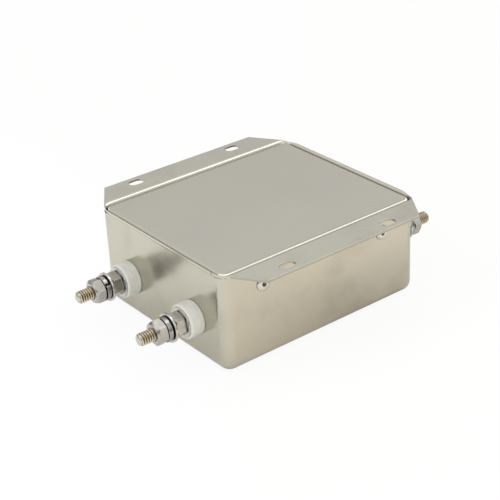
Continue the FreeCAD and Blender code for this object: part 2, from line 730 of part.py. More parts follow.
def make_board():
    body = new_body("component_board")
    sketch = new_sketch(body, "XY_Plane", "board_under")
    oblong(sketch, "0", "0", "board_length", "board_width")
    feature(body, "Pad", sketch, Length="board_gauge")
    eased(body, "board_round", upright)
    holes = new_sketch(body, "XY_Plane", "board_top")
    for across, along in corner_spots("post_pitch_along", "post_pitch_across"):
        ring(holes, across, along, "post_radius + hole_play")
    for across, along, radius in pin_spots():
        ring(holes, across, along, radius + " + hole_play")
    for end in ENDS.values():
        for side in SIDES.values():
            oblong(holes, signed(end, "strap_x"), signed(side, "stud_pitch / 2"),
                   "strap_gauge + 2 * hole_play", "strap_tail + 2 * hole_play")
    feature(body, "Pocket", holes, Length="board_gauge")
    nodes.append(body)


def make_posts():
    rotation = FreeCAD.Rotation(V(0, 1, 0), -90)
    top = "board_top + post_nut_height + post_tip"
    post = turned_piece("post_pattern", [
        ("can_gauge", "0"), ("can_gauge", "post_radius"), ("%s - post_chamfer" % top, "post_radius"),
        (top, "post_radius - post_chamfer"), (top, "0")])
    spacer = plain_washer("spacer_pattern", "spacer_radius", "post_radius + hole_play", "board_stand")
    nut = hex_nut("post_nut_pattern", "post_nut_corner", "post_nut_flats", "post_nut_height",
                  "post_radius + stud_play", "nut_chamfer / 2")
    spots = corner_spots("post_pitch_along", "post_pitch_across")
    for name, pattern, up in (("board_posts", post, "0"), ("board_spacers", spacer, "can_gauge"),
                              ("board_nuts", nut, "board_top")):
        repeated(name, pattern, [spot + (up, rotation) for spot in spots])


# Chokes: a ring core with one winding for each line, side by side round it
WINDING_START = {"a": 210, "b": 30}


def choke_place(end):
    """Centre of a choke: the two stand on a diagonal of the board."""
    way = ENDS[end]
    return signed(way, "choke_shift_along"), signed(way, "choke_shift_across")


def leg_spots(end, side):
    """Where the two end legs of a winding go through the board."""
    across, along = choke_place(end)
    spots = []
    for turn in (WINDING_START[side], WINDING_START[side] + sheet.get("winding_sweep")):
        way = FreeCAD.Rotation(V(0, 0, 1), turn).multVec(V(1, 0, 0))
        spots.append(("%s + leg_radius * (%.9f)" % (across, way.x),
                      "%s + leg_radius * (%.9f)" % (along, way.y)))
    return spots


def make_chokes():
    for end in ENDS:
        core = new_body("choke_core_" + end)
        sketch = new_sketch(core, "XY_Plane", "-core_height / 2")
        ring(sketch, "0", "0", "core_radius")
        ring(sketch, "0", "0", "core_bore")
        feature(core, "Pad", sketch, Length="core_height")
        eased(core, "core_ease", lambda edge: edge.Curve.TypeId == "Part::GeomCircle")
        placed(core, *choke_place(end), "choke_mid")
        nodes.append(core)
        for side in SIDES:
            winding = make_winding("choke_winding_%s_%s" % (end, side))
            placed(winding, *choke_place(end), "choke_mid",
                   FreeCAD.Rotation(V(0, 0, 1), WINDING_START[side]))
            nodes.append(winding)


def make_winding(name):
    """Square-cut turns round the core's section, and a leg down through the board at each end."""
    body = new_body(name)
    sketch = new_sketch(body, "XZ_Plane")
    low, high = "core_bore - wire_play", "core_radius + wire_play"
    tall = "core_height / 2 + wire_play"
    for grow in ("0", "wire_gauge"):
        outline(sketch, [("%s - %s" % (low, grow), "-(%s + %s)" % (tall, grow)),
                         ("%s + %s" % (high, grow), "-(%s + %s)" % (tall, grow)),
                         ("%s + %s" % (high, grow), "%s + %s" % (tall, grow)),
                         ("%s - %s" % (low, grow), "%s + %s" % (tall, grow))])
    turn = feature(body, "Pad", sketch, midplane=True, Length="wire_gauge")
    turns = patterned(body, turn, "winding_turns", "winding_sweep")
    body.Tip = turns
    sketch = new_sketch(body, "XY_Plane", "-core_height / 2")
    ring(sketch, "leg_radius", "0", "wire_gauge / 2")
    leg = feature(body, "Pad", sketch, reversed_way=True, Length="choke_mid - core_height / 2 - pin_end")
    body.Tip = patterned(body, leg, "2", "winding_sweep")
    return body


def patterned(body, original, count, sweep):
    """Copies of a feature spread over an angle about Z."""
    made = body.newObject("PartDesign::PolarPattern", body.Name + "_pattern")
    made.Originals = [original]
    axis = next(item for item in body.Origin.OriginFeatures if item.Role == "Z_Axis")
    made.Axis = (axis, [""])
    made.setExpression("Angle", bound(sweep))
    made.setExpression("Occurrences", bound(count))
    body.Tip = made
    doc.recompute()
    return made


# Capacitors across the lines, from each line to the can, and the discharge resistor
def film_place(end):
    way = ENDS[end]
    return signed(way, "choke_shift_along"), signed(-way, "film_shift_across")


def disc_place(end, side):
    return signed(ENDS[end], "disc_shift_along"), signed(SIDES[side], "disc_shift_across")


def pin_spots():
    """Every round pin that goes through the board, with its radius."""
    spots = []
    for end in ENDS:
        across, along = film_place(end)
        for way in ("-", "+"):
            spots.append(("%s %s film_pin_pitch / 2" % (across, way), along, "pin_radius"))
        for side in SIDES:
            across, along = disc_place(end, side)
            for way in ("-", "+"):
                spots.append((across, "%s %s disc_pin_pitch / 2" % (along, way), "pin_radius"))
            for leg in leg_spots(end, side):
                spots.append(leg + ("wire_gauge / 2",))
    for way in ("-", ""):
        spots.append(("-choke_shift_along %s resistor_pin_pitch / 2" % (way or "+"), "resistor_shift_across",
                      "pin_radius"))
    return spots


def make_capacitors():
    for end in ENDS:
        film = new_body("film_capacitor_" + end)
        sketch = new_sketch(film, "XY_Plane")
        oblong(sketch, "0", "0", "film_length", "film_width")
        feature(film, "Pad", sketch, Length="film_height")
        eased(film, "film_ease", lambda edge: not level_at(edge, 0))
        sketch = new_sketch(film, "XY_Plane")
        for way in ("-", ""):
            ring(sketch, way + "film_pin_pitch / 2", "0", "pin_radius")
        feature(film, "Pad", sketch, reversed_way=True, Length="board_top - pin_end")
        placed(film, *film_place(end), "board_top")
        nodes.append(film)
        for side in SIDES:
            disc = make_disc("disc_capacitor_%s_%s" % (end, side))
            placed(disc, *disc_place(end, side), "board_top")
            nodes.append(disc)


def make_disc(name):
    """Coated disc standing on edge across X, on two pins."""
    body = new_body(name)
    sketch = new_sketch(body, "YZ_Plane")
    centre = "disc_lift + disc_radius"
    ring(sketch, "0", centre, "disc_radius")
    feature(body, "Pad", sketch, midplane=True, Length="disc_gauge")
    eased(body, "disc_ease", lambda edge: edge.Curve.TypeId == "Part::GeomCircle")
    sketch = new_sketch(body, "XY_Plane", centre)
    for way in ("-", ""):
        ring(sketch, "0", way + "disc_pin_pitch / 2", "pin_radius")
    feature(body, "Pad", sketch, reversed_way=True, Length="%s + board_top - pin_end" % centre)
    return body


def make_resistor():
    """Axial resistor lying over the board, its wire bent down at both ends."""
    body = turned_piece("bleed_resistor", [
        ("-resistor_length / 2", "0"), ("-resistor_length / 2", "resistor_radius"),
        ("resistor_length / 2", "resistor_radius"), ("resistor_length / 2", "0")])
    eased(body, "resistor_ease", lambda edge: edge.Curve.TypeId == "Part::GeomCircle")
    foot = "-(resistor_lift + board_top - pin_end)"
    path = new_sketch(body, "XZ_Plane")
    hooked(path, foot)
    profile = new_sketch(body, "XY_Plane", foot)
    ring(profile, "-resistor_pin_pitch / 2", "0", "pin_radius")
    wire = body.newObject("PartDesign::AdditivePipe", "bleed_resistor_wire")
    wire.Profile = profile
    wire.Spine = path
    doc.recompute()
    placed(body, "-choke_shift_along", "resistor_shift_across", "board_top + resistor_lift")
    nodes.append(body)


def hooked(sketch, foot):
    """Path of the resistor's wire: up, a bend, across, a bend, and down."""
    half, bend = "resistor_pin_pitch / 2", "resistor_bend"
    reach, turn, low = present(half), present(bend), present(foot)
    for way in (-1, 1):
        outer, inner = signed(way, half), signed(way, "%s - %s" % (half, bend))
        foot_spot, shoulder = V(way * reach, low, 0), V(way * reach, -turn, 0)
        middle, crown = V(way * (reach - turn), -turn, 0), V(way * (reach - turn), 0, 0)
        leg = sketch.addGeometry(Part.LineSegment(foot_spot, shoulder), False)
        arc = bow(sketch, middle, *((shoulder, crown) if way > 0 else (crown, shoulder)))
        pin(sketch, leg, 1, outer, foot)
        pin(sketch, leg, 2, outer, "-" + bend)
        sketch.addConstraint(Sketcher.Constraint("Coincident", leg, 2, arc, 1 if way > 0 else 2))
        pin(sketch, arc, 2 if way > 0 else 1, inner, "0")
        held = sketch.addConstraint(Sketcher.Constraint("Radius", arc, turn))
        sketch.setExpression("Constraints[%d]" % held, bound(bend))
    span = sketch.addGeometry(Part.LineSegment(V(turn - reach, 0, 0), V(reach - turn, 0, 0)), False)
    sketch.addConstraint(Sketcher.Constraint("Coincident", span, 1, 1, 1))
    sketch.addConstraint(Sketcher.Constraint("Coincident", span, 2, 3, 2))


make_can()
make_cover()
make_rivets()
make_terminals()
make_fasteners()
make_board()
make_posts()
make_chokes()
make_capacitors()
make_resistor()
doc.recompute()

# Nothing is written unless every object and every sub-part is sound
for item in doc.Objects:
    if {"Invalid", "Error"} & set(item.State):
        raise ValueError("%s failed: %s" % (item.Label, item.State))
for item in nodes:
    if item.Shape.isNull() or not item.Shape.isValid():
        raise ValueError("%s has no sound shape" % item.Label)
os.makedirs("parts", exist_ok=True)
for item in nodes:
    item.Shape.exportStep("parts/%s.step" % item.Label)
    print("%-26s %2d solids %10.1f mm3" % (item.Label, len(item.Shape.Solids), item.Shape.Volume))
print(len(nodes), "sub-parts")
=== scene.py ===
import math

import bpy
import numpy as np
from mathutils import Matrix, Vector


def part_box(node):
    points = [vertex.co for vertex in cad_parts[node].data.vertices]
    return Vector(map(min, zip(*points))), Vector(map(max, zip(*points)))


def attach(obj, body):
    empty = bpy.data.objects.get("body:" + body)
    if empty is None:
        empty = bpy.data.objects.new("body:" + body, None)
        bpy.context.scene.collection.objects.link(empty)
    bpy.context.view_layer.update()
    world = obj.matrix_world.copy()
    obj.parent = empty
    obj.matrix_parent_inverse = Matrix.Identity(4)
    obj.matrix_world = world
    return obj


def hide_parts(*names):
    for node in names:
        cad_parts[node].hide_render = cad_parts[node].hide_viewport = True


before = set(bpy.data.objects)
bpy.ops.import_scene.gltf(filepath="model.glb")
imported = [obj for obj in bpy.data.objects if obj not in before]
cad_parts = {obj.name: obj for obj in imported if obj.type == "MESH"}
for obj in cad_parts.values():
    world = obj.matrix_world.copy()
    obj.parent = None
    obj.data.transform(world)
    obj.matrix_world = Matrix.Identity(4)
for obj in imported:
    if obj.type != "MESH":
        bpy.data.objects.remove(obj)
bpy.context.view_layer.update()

# Interference filter in a drawn can: every outer piece is a finer surface in place of its solid
#
# Lengths are millimetres up to the point where a mesh is made. X runs along the studs, with the
# line end at -X, Y from flange to flange, with side a at -Y, and Z up from the can's closed face.
MM = 0.001
ENDS = {"line": -1, "load": 1}
SIDES = {"a": -1, "b": 1}
STUDS = [(end, side) for end in ENDS for side in SIDES]
ALONG, ACROSS, UP = np.eye(3)

# Camera, solved from the can's edges in the photograph
LENS_ON_36 = 96.18
VIEW_AZIMUTH = -37.52
VIEW_ELEVATION = 27.87
VIEW_ROLL = -2.63
VIEW_DISTANCE = 670.9
OPTICAL_CENTRE = (259.2, 247.7)
PICTURE = 500

# Can
CAN_GAUGE = 1.2  # sheet of the can
CORNER_ROUND = 5.9  # upright corners, outside
BASE_ROUND = 5.3  # edges of the closed face, outside
FLANGE_REACH = 16  # flange beyond the wall
BEND_INSIDE = 1  # wall to flange, inside of the bend
LIP = 0.3  # what the trim leaves of the flange at the end walls
TIP_INSET = 13.2  # end of the can to the flange corner
TIP_ROUND = 1.2  # flange corners
TRIM_START = 4.5  # side wall to where the trim turns from the end wall
TRIM_ROUND = 20  # the trim's turn from end wall to flange
EDGE_SOFT = 0.16  # softening of the cut edges
BUSH_HOLE = 5.5  # radius of the holes for the bushes
RIVET_HOLE = 2.1  # radius of the holes for the rivets
SLOT_PITCH = 62  # slots of one flange, centre to centre
SLOT_OUT = 10.5  # side wall to the middle of the slots
SLOT_HALF = 4.3  # half the length of a slot
SLOT_RADIUS = 2.8  # half the width of a slot

# Spacing of the can's surface: places as (end, count), and the half size of the blocks round its holes
LONG_COLUMNS = ((24, 12), (46, 22), (47.2, 8))
END_COLUMNS = ((18, 9), (34, 8))
LAST_COLUMNS = 6
CORNER_STEPS = 20
WALL_ROWS = [9.4, 13.5, 15.5, 17.5, 19.5, 21.5, 23.5, 25.5, 27.5, 29.5, 32.4]
FLANGE_ROWS = [1.6, 3.5]
RIM_ROW = 15.6
BEND_STEPS = (10, 7)  # steps round the mouth's bend, above and below
BASE_STEPS = (9, 6)  # steps round the closed face's edge, outside and inside
FLAT_SHARES = (0, 0.5, 0.9, 1)  # rows of a flat face, from its middle to its outline
HOLE_SHARES = np.array([0, 0.4, 0.8])[:, None, None]  # rows of a block, from its outline to its hole
RIVET_BLOCK = 5
RIVET_ROWS = 7
BUSH_BLOCK = 8
SLOT_BLOCK = (7, 4.5)
SLOT_ROWS = 10

# Cover
COVER_GAUGE = 1  # sheet of the cover
COVER_FOLD = 0.4  # inside of the folds
COVER_CORNER = 4.4  # upright corners
COVER_END_LIP = 6  # depth of the end lips
COVER_COLUMNS = (26, 21)  # columns of half a side along X and along Y
COVER_FAN = 12  # columns of a corner
COVER_FOLD_STEPS = (7, 4)  # steps round a fold, outside and inside
COVER_SHARES = (0, 0.5, 0.9, 0.98, 1)  # rows of the top, from its middle to its outline

# Screw thread of studs and nuts, a quarter inch and 20 to the inch
PITCH = 1.27
THREAD_DEPTH = 0.7
THREAD_PLAY = 0.05  # stud to nut and to bush
THREAD_ROWS = np.array([0, 1 / 16, 7 / 32, 3 / 8, 1 / 2, 5 / 8, 25 / 32, 15 / 16])
FLANKS = (1 / 4, 7 / 8)  # root and crest, as shares of half a pitch
STUD_CHAMFER = 0.7
STUD_CROWN = 0.7  # height of the domed ends
STUD_SPOTS = 52  # columns round a stud
DOME_ROWS = 6

# Nuts
NUT_FLATS = 11.1  # across flats
NUT_HEIGHT = 5.4
NUT_FACE = 4.6  # radius of the outer face's flat
NUT_SLOPE = 0.75  # slope of the outer chamfer
NUT_SEAT = 5.3  # radius of the seat's flat
NUT_SEAT_SLOPE = 0.35  # slope of the seat's chamfer
NUT_CORNER_SOFT = 0.22
NUT_EDGE_SOFT = 0.25
FACE_SPOTS = 16  # columns of one face of the hexagon
CORNER_CROWD = 0.115  # how much closer they stand near its corners
COUNTERSINK = 3.5  # radius of the bore's mouth
CLAMP_DEEPER = 0.5  # clamp nuts deeper, and the washers under them thinner
CLAMP_NUT_SPIN = {("line", "a"): 12, ("line", "b"): 15.5, ("load", "a"): 10, ("load", "b"): 52}
TERMINAL_NUT_SPIN = {("line", "a"): 12, ("line", "b"): 47, ("load", "a"): 18, ("load", "b"): 35}
INNER_NUT_SPIN = {stud: 8 for stud in STUDS}

# Washers
WASHER_PLAY = 0.2  # stud to washer
WASHER_GAUGE = 1.2
WASHER_SOFT = 0.28
WASHER_SPOTS = 72  # columns round a washer
CLAMP_WASHER_WIDER = 0.4
SPRING_SECTION = 2.25  # thickness of the spring washers
SPRING_RISE = 0.6  # lift over one turn
SPRING_TURN = 350  # wrap, in degrees
SPRING_SOFT = 0.3
SPRING_SKEW = 1.2  # degrees by which the cut ends stand back from square
SPRING_SPOTS = 90  # sections of one spring washer
SPRING_INSET = 0.9  # section just inside the rim of a cut end
SPRING_SPIN = {("line", "a"): 300, ("line", "b"): 35, ("load", "a"): 200, ("load", "b"): 140}

# Bushes
BUSH_EASE = 0.6
BUSH_SOFT = 0.3
SPIGOT_RADIUS = 5.4
GROOVES = (1.7, 3.3, 4.9)
GROOVE_HALF = 0.28
GROOVE_DEPTH = 0.14
BUSH_SPOTS = 96  # columns round a bush

# Rivets, with the head's dome and the dish in it as (height, radius)
RIVET_HEAD = 3.4  # radius of the solid's head
RIVET_BORE = 1.15
RIVET_DOME = ((0, 3.65), (0.3, 3.75), (0.62, 3.5), (0.92, 3.0), (1.12, 2.4))
RIVET_RIM = 1.85  # radius of the dome's highest ring
RIVET_DISH = ((1.02, RIVET_BORE + 0.05), (0.7, RIVET_BORE))
RIVET_SHANK = 2
RIVET_GRIP = 2.45  # outside of the can to the collar
RIVET_COLLAR = 3
RIVET_COLLAR_LENGTH = 2.6
RIVET_COLLAR_STRAIGHT = 0.7  # share of the collar's length before it tapers
RIVET_COLLAR_TIP = 2.1  # radius at the end of the taper
RIVET_SOFT = 0.25
RIVET_SPOTS = 48  # columns round a rivet


def corners(node):
    """Lowest and highest corner of a CAD node, in millimetres, to the micron."""
    low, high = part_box(node)
    return np.round(np.array(low) / MM, 3), np.round(np.array(high) / MM, 3)


# Places, read from the frame
half_length, half_width, can_height = corners("housing_can")[1] - (LIP, FLANGE_REACH, 0)
rivet_low, rivet_high = corners("cover_rivets")
rivet_along = rivet_high[0] - RIVET_HEAD
rivet_up = (rivet_low[2] + rivet_high[2]) / 2
stud_low, stud_high = corners("terminal_stud_load_b")
stud_across, stud_up = (stud_low[1:] + stud_high[1:]) / 2
stud_radius = (stud_high[2] - stud_low[2]) / 2
bend_level = can_height - CAN_GAUGE - BEND_INSIDE


def at_stud(table, end, side):
    """A table made round the X axis, moved to a stud and turned to face out of its end wall."""
    low, high = corners("terminal_stud_%s_%s" % (end, side))
    across, up = (low[1:] + high[1:]) / 2
    sign = ENDS[end]
    return (table + (half_length, 0, 0)) * (sign, sign, 1) + (0, across, up)


# Surfaces
WELD = 1e-4  # points nearer than this are joined
WELD_SHIFT = 0.4567  # keeps round coordinates off the edges of the weld's cells
CORNER_SHARE = 0.45  # most of a side that one soft corner takes


def grid(table, closed=False, keep=None):
    """Quads over a table of points [row, column, xyz]; closed joins the last column to the first."""
    rows, columns = table.shape[:2]
    number = np.arange(rows * columns).reshape(rows, columns)
    if closed:
        number = np.concatenate([number, number[:, :1]], 1)
    faces = np.stack([number[:-1, :-1], number[:-1, 1:], number[1:, 1:], number[1:, :-1]], -1)
    faces = faces.reshape(-1, 4) if keep is None else faces[keep]
    return table.reshape(-1, 3), faces


def spans(points, quads, threes):
    """Area vectors of quads and triangles, half the cross product of two spans, and their volume.

    The volume is a third of the sum of each face's middle times its area vector.
    """
    four = np.cross(points[quads[:, 2]] - points[quads[:, 0]],
                    points[quads[:, 3]] - points[quads[:, 1]]) / 2
    three = np.cross(points[threes[:, 1]] - points[threes[:, 0]],
                     points[threes[:, 2]] - points[threes[:, 0]]) / 2
    volume = (points[quads].mean(1) * four).sum() + (points[threes].mean(1) * three).sum()
    return four, three, volume / 3


def welded(grids):
    """Grids of one closed shell joined where their points meet, as points, quads and triangles.

    Points in one cell of a fine lattice become one, a quad that loses a side becomes a triangle,
    one that loses more goes, and a shell whose volume is negative is turned inside out.
    """
    starts = np.cumsum([0] + [len(points) for points, _ in grids[:-1]])
    faces = np.concatenate([quads + start for (_, quads), start in zip(grids, starts)])
    points = np.concatenate([points for points, _ in grids])
    cells = np.floor(points / WELD + WELD_SHIFT).astype(np.int64)
    _, first, index = np.unique(cells, axis=0, return_index=True, return_inverse=True)
    points, faces = points[first], index.reshape(-1)[faces]
    twin = faces == np.roll(faces, -1, axis=1)
    folded = (faces[:, 0] == faces[:, 2]) | (faces[:, 1] == faces[:, 3])
    quads = faces[(twin.sum(1) == 0) & ~folded]
    pinched = (twin.sum(1) == 1) & ~folded
    threes = faces[pinched][~twin[pinched]].reshape(-1, 3)
    if spans(points, quads, threes)[2] < 0:
        quads, threes = quads[:, ::-1], threes[:, ::-1]
    return points, quads, threes


def even_normals(points, quads, threes):
    """Point normals: the sum of the area vectors of the faces round each point, brought to length 1."""
    four, three, _ = spans(points, quads, threes)
    normals = np.zeros_like(points)
    for corner in range(4):
        np.add.at(normals, quads[:, corner], four)
    for corner in range(3):
        np.add.at(normals, threes[:, corner], three)
    return normals / np.maximum(np.linalg.norm(normals, axis=1, keepdims=True), 1e-12)


def make_piece(name, shells, finish, slot, *nodes):
    """One object of closed shells, which stands for CAD nodes and rides on the part."""
    shells = [welded(shell) for shell in shells]
    starts = np.cumsum([0] + [len(points) for points, _, _ in shells[:-1]])
    points = np.concatenate([shell[0] for shell in shells])
    quads = np.concatenate([shell[1] + start for shell, start in zip(shells, starts)])
    threes = np.concatenate([shell[2] + start for shell, start in zip(shells, starts)])
    mesh = bpy.data.meshes.new(name)
    mesh.from_pydata((points * MM).tolist(), [], quads.tolist() + threes.tolist())
    mesh.polygons.foreach_set("use_smooth", np.ones(len(mesh.polygons), bool))
    mesh.normals_split_custom_set_from_vertices(even_normals(points, quads, threes).tolist())
    mesh.materials.append(finish)
    piece = bpy.data.objects.new(name, mesh)
    bpy.context.scene.collection.objects.link(piece)
    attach(piece, "root")
    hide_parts(*nodes)


def softened(profile, reach, steps=3):
    """A profile [point, ..., xy] whose inner corners become parabolas that start reach before them.

    A parabola's point is (1 - t)^2 times its start, plus 2t(1 - t) times the corner, plus t^2
    times its end.
    """
    corner = profile[1:-1]
    to_last, to_next = profile[:-2] - corner, profile[2:] - corner
    last_length = np.linalg.norm(to_last, axis=-1, keepdims=True)
    next_length = np.linalg.norm(to_next, axis=-1, keepdims=True)
    set_back = np.minimum(reach, np.minimum(last_length, next_length) * CORNER_SHARE)
    start = corner + to_last / np.maximum(last_length, 1e-9) * set_back
    end = corner + to_next / np.maximum(next_length, 1e-9) * set_back
    share = np.linspace(0, 1, steps + 1).reshape((-1,) + (1,) * corner.ndim)
    bows = (1 - share) ** 2 * start + 2 * share * (1 - share) * corner + share ** 2 * end
    bows = np.moveaxis(bows, 0, 1).reshape((-1,) + corner.shape[1:])
    return np.concatenate([profile[:1], bows, profile[-1:]])


def closed_profile(line, reach):
    """A closed profile with all corners softened, from the middle of its first side and back to it."""
    spots = np.array(line, float)
    start = (spots[:1] + spots[1:2]) / 2
    return softened(np.concatenate([start, spots[1:], spots[:1], start]), reach)


def arc(middle, radius, start, end, steps):
    """Points (across, up) of a circle: middle plus radius times cosine and sine, between two degrees."""
    turn = np.radians(np.linspace(start, end, steps + 1))
    return np.stack([middle[0] + radius * np.cos(turn), middle[1] + radius * np.sin(turn)], -1)


def full_turn(spots):
    """Angles once round, evenly spaced."""
    return np.arange(spots) * 2 * np.pi / spots


def spun(profile, angles):
    """A profile of (along X, radius), one for all angles or one for each, carried round X.

    Y is the radius times the angle's cosine, and Z the radius times its sine.
    """
    if profile.ndim == 2:
        profile = np.repeat(profile[:, None], len(angles), 1)
    along, radius = profile[..., 0], profile[..., 1]
    return np.stack([along, radius * np.cos(angles), radius * np.sin(angles)], -1)


def turned_ring(end, side, profile, spots):
    """A turned ring on a stud, its closed profile given as (out from the wall, radius)."""
    return [grid(at_stud(spun(profile, full_turn(spots)), end, side), closed=True)]


# Sheet
def stops(*pieces):
    """Places from 0 outwards in pieces of (end, count), and the same on the other side of 0."""
    places, last = [np.zeros(1)], 0
    for end, count in pieces:
        places.append(np.linspace(last, end, count + 1)[1:])
        last = end
    half = np.concatenate(places)
    return np.concatenate([-half[:0:-1], half])


def between(places, low, high):
    """Numbers of the places from the one nearest to low up to the one nearest to high."""
    return np.arange(np.argmin(np.abs(places - low)), np.argmin(np.abs(places - high)) + 1)


def rounded_path(half_x, half_y, radius, stops_x, stops_y, fan):
    """Points and outward normals round a rectangle with round corners, counterclockwise from (+X, -Y).

    Each side is its reach along its normal plus the stops along the side; each corner is its
    centre plus the radius times a normal that turns through a quarter.
    """
    centre = np.array([half_x - radius, half_y - radius])
    points, normals = [], []
    for quarter in range(4):
        turn = quarter * np.pi / 2
        facing = np.round([np.cos(turn), np.sin(turn)])
        leftward = np.array([-facing[1], facing[0]])
        run = stops_y if quarter % 2 == 0 else stops_x
        reach = abs(facing @ [half_x, half_y])
        points.append(facing * reach + leftward * run[:, None])
        normals.append(np.repeat(facing[None], len(run), 0))
        bend = turn + np.linspace(0, np.pi / 2, fan + 1)[1:-1]
        ways = np.stack([np.cos(bend), np.sin(bend)], -1)
        points.append(centre * np.sign(facing + leftward) + radius * ways)
        normals.append(ways)
    return np.concatenate(points), np.concatenate(normals)


def trim_reach(points, normals):
    """How far the trimmed outline of the flange lies from the wall along each normal.

    In one quarter the outline is the lip, an arc, the slanted line, the round tip and the long
    edge. A line is met where the normal's run covers the distance to it, and a circle at the
    farther root of its quadratic.
    """
    at, way = np.abs(points), np.maximum(np.abs(normals), 1e-9)
    lip, edge = half_length + LIP, half_width + FLANGE_REACH
    vertex = np.array([lip, half_width - TRIM_START])
    tip = np.array([half_length - TIP_INSET, edge])
    run = np.linalg.norm(tip - vertex)
    slant = (tip - vertex) / run
    slope = np.arctan2(slant[1], -slant[0])
    turn_set = TRIM_ROUND * np.tan((np.pi / 2 - slope) / 2)
    tip_set = TIP_ROUND * np.tan(slope / 2)
    side = np.array([slant[1], -slant[0]])

    def circle(middle, radius):
        rel = at - middle
        half = (rel * way).sum(1)
        inside = half ** 2 - (rel ** 2).sum(1) + radius ** 2
        return -half + np.sqrt(np.maximum(inside, 0))

    to_lip = (lip - at[:, 0]) / way[:, 0]
    to_slant = ((vertex - at) @ side) / (way @ side)
    to_edge = (edge - at[:, 1]) / way[:, 1]
    to_turn = circle(vertex + (-TRIM_ROUND, -turn_set), TRIM_ROUND)
    to_tip = circle(tip + (-tip_set, -TIP_ROUND), TIP_ROUND)
    slant_hit = ((at + way * to_slant[:, None]) - vertex) @ slant
    on_lip = at[:, 1] + way[:, 1] * to_lip <= vertex[1] - turn_set
    on_edge = at[:, 0] + way[:, 0] * to_edge <= tip[0] - tip_set
    return np.select([on_lip, on_edge, slant_hit < turn_set, slant_hit > run - tip_set],
                     [to_lip, to_edge, to_turn, to_tip], to_slant)


def flat_face(outline, height, shares):
    """Rows of a flat face: its outline scaled towards the middle by each share."""
    level = np.concatenate([outline, np.zeros((len(outline), 1))], 1)
    return np.array(shares)[:, None, None] * level + (0, 0, height)


def block_line(table, rows, columns):
    """The closed line round a block of a table, once round, starting along its first row."""
    return np.concatenate([table[rows[0], columns[:-1]], table[rows[:-1], columns[-1]],
                           table[rows[-1], columns[:0:-1]], table[rows[:0:-1], columns[0]]])


def hole_line(outer, middle, across, rise, straight, radius):
    """A slot's outline on the rays from its middle to the block's outline; a round hole has no straight.

    On its straight part the reach is the radius over the ray's sine. On its round ends it is the
    ray's distance to a circle that stands off by the straight part.
    """
    rel = outer - middle
    x, y = rel @ across, rel @ rise
    away = np.hypot(x, y)
    cosine, sine = np.abs(x) / away, np.maximum(np.abs(y) / away, 1e-9)
    flat = radius / sine
    reach = np.where(flat * cosine <= straight, flat,
                     straight * cosine + np.sqrt(radius ** 2 - (straight * sine) ** 2))
    return middle + (x / away * reach)[:, None] * across + (y / away * reach)[:, None] * rise


def pierced(outer_a, outer_b, hole_a, hole_b):
    """A block of sheet with a hole: in over one skin, through the hole and out over the other."""
    line = softened(np.stack([outer_a, hole_a, hole_b, outer_b]), EDGE_SOFT)
    first = outer_a + (line[1] - outer_a) * HOLE_SHARES
    last = outer_b + (line[-2] - outer_b) * HOLE_SHARES[::-1]
    return grid(np.concatenate([first, line[1:-1], last]), closed=True)


# Can
can_wall_rows = np.concatenate([[BASE_ROUND], WALL_ROWS,
                                rivet_up + np.linspace(-RIVET_BLOCK, RIVET_BLOCK, RIVET_ROWS),
                                [bend_level]])
can_flange_rows = np.concatenate([[BEND_INSIDE], FLANGE_ROWS,
                                  SLOT_OUT + np.linspace(-SLOT_BLOCK[1], SLOT_BLOCK[1], SLOT_ROWS),
                                  [RIM_ROW]])


def can_profile(reach):
    """The can's sheet as rows of (out from the wall, height) for each point of the path, by name.

    The rows go up the inner wall, round the mouth's bend to the top of the flange, over the
    trimmed rim, back beneath the flange and down the outer wall. A bend is an arc that stops
    at the angle whose cosine brings it to the trim, and a flange row is a share of the trim's
    reach.
    """
    count = len(reach)
    shares = (can_flange_rows - BEND_INSIDE) / (FLANGE_REACH - BEND_INSIDE)

    def wall(out, heights):
        return np.stack([np.full((len(heights), count), out), np.repeat(heights[:, None], count, 1)], -1)

    def bend(radius, steps):
        last = np.arccos(np.clip((reach - BEND_INSIDE) / radius, -1, 0))
        turn = np.pi + (last - np.pi) * np.linspace(0, 1, steps + 1)[:, None]
        return np.stack([BEND_INSIDE + radius * np.cos(turn), bend_level + radius * np.sin(turn)], -1)

    def flange(height):
        start = np.minimum(reach, BEND_INSIDE)
        out = start + shares[:, None] * (reach - start)
        return np.stack([out, np.repeat(height[None], len(shares), 0)], -1)

    def base_edge(radius, start, end, steps):
        edge = arc((-BASE_ROUND, BASE_ROUND), radius, start, end, steps)
        return np.repeat(edge[:, None], count, 1)

    mouth, under = (bend(radius, steps) for radius, steps in
                    zip((BEND_INSIDE + CAN_GAUGE, BEND_INSIDE), BEND_STEPS))
    top, below = flange(mouth[-1, :, 1]), flange(under[-1, :, 1])
    rim_top, rim_below = (np.stack([reach, skin[-1, :, 1]], -1) for skin in (mouth, under))
    flat = (reach > BEND_INSIDE)[:, None]
    rim = np.stack([np.where(flat, top[-1], mouth[-2]), rim_top, rim_below,
                    np.where(flat, below[-1], under[-2])])
    return {
        "inner edge": base_edge(BASE_ROUND - CAN_GAUGE, -90, 0, BASE_STEPS[1]),
        "inner wall": wall(-CAN_GAUGE, can_wall_rows),
        "mouth": mouth[1:],
        "top": top[1:],
        "rim": softened(rim, EDGE_SOFT)[1:-1],
        "below": below[:0:-1],
        "bend": under[:0:-1],
        "outer wall": wall(0, can_wall_rows[::-1]),
        "outer edge": base_edge(BASE_ROUND, 0, -90, BASE_STEPS[0]),
    }


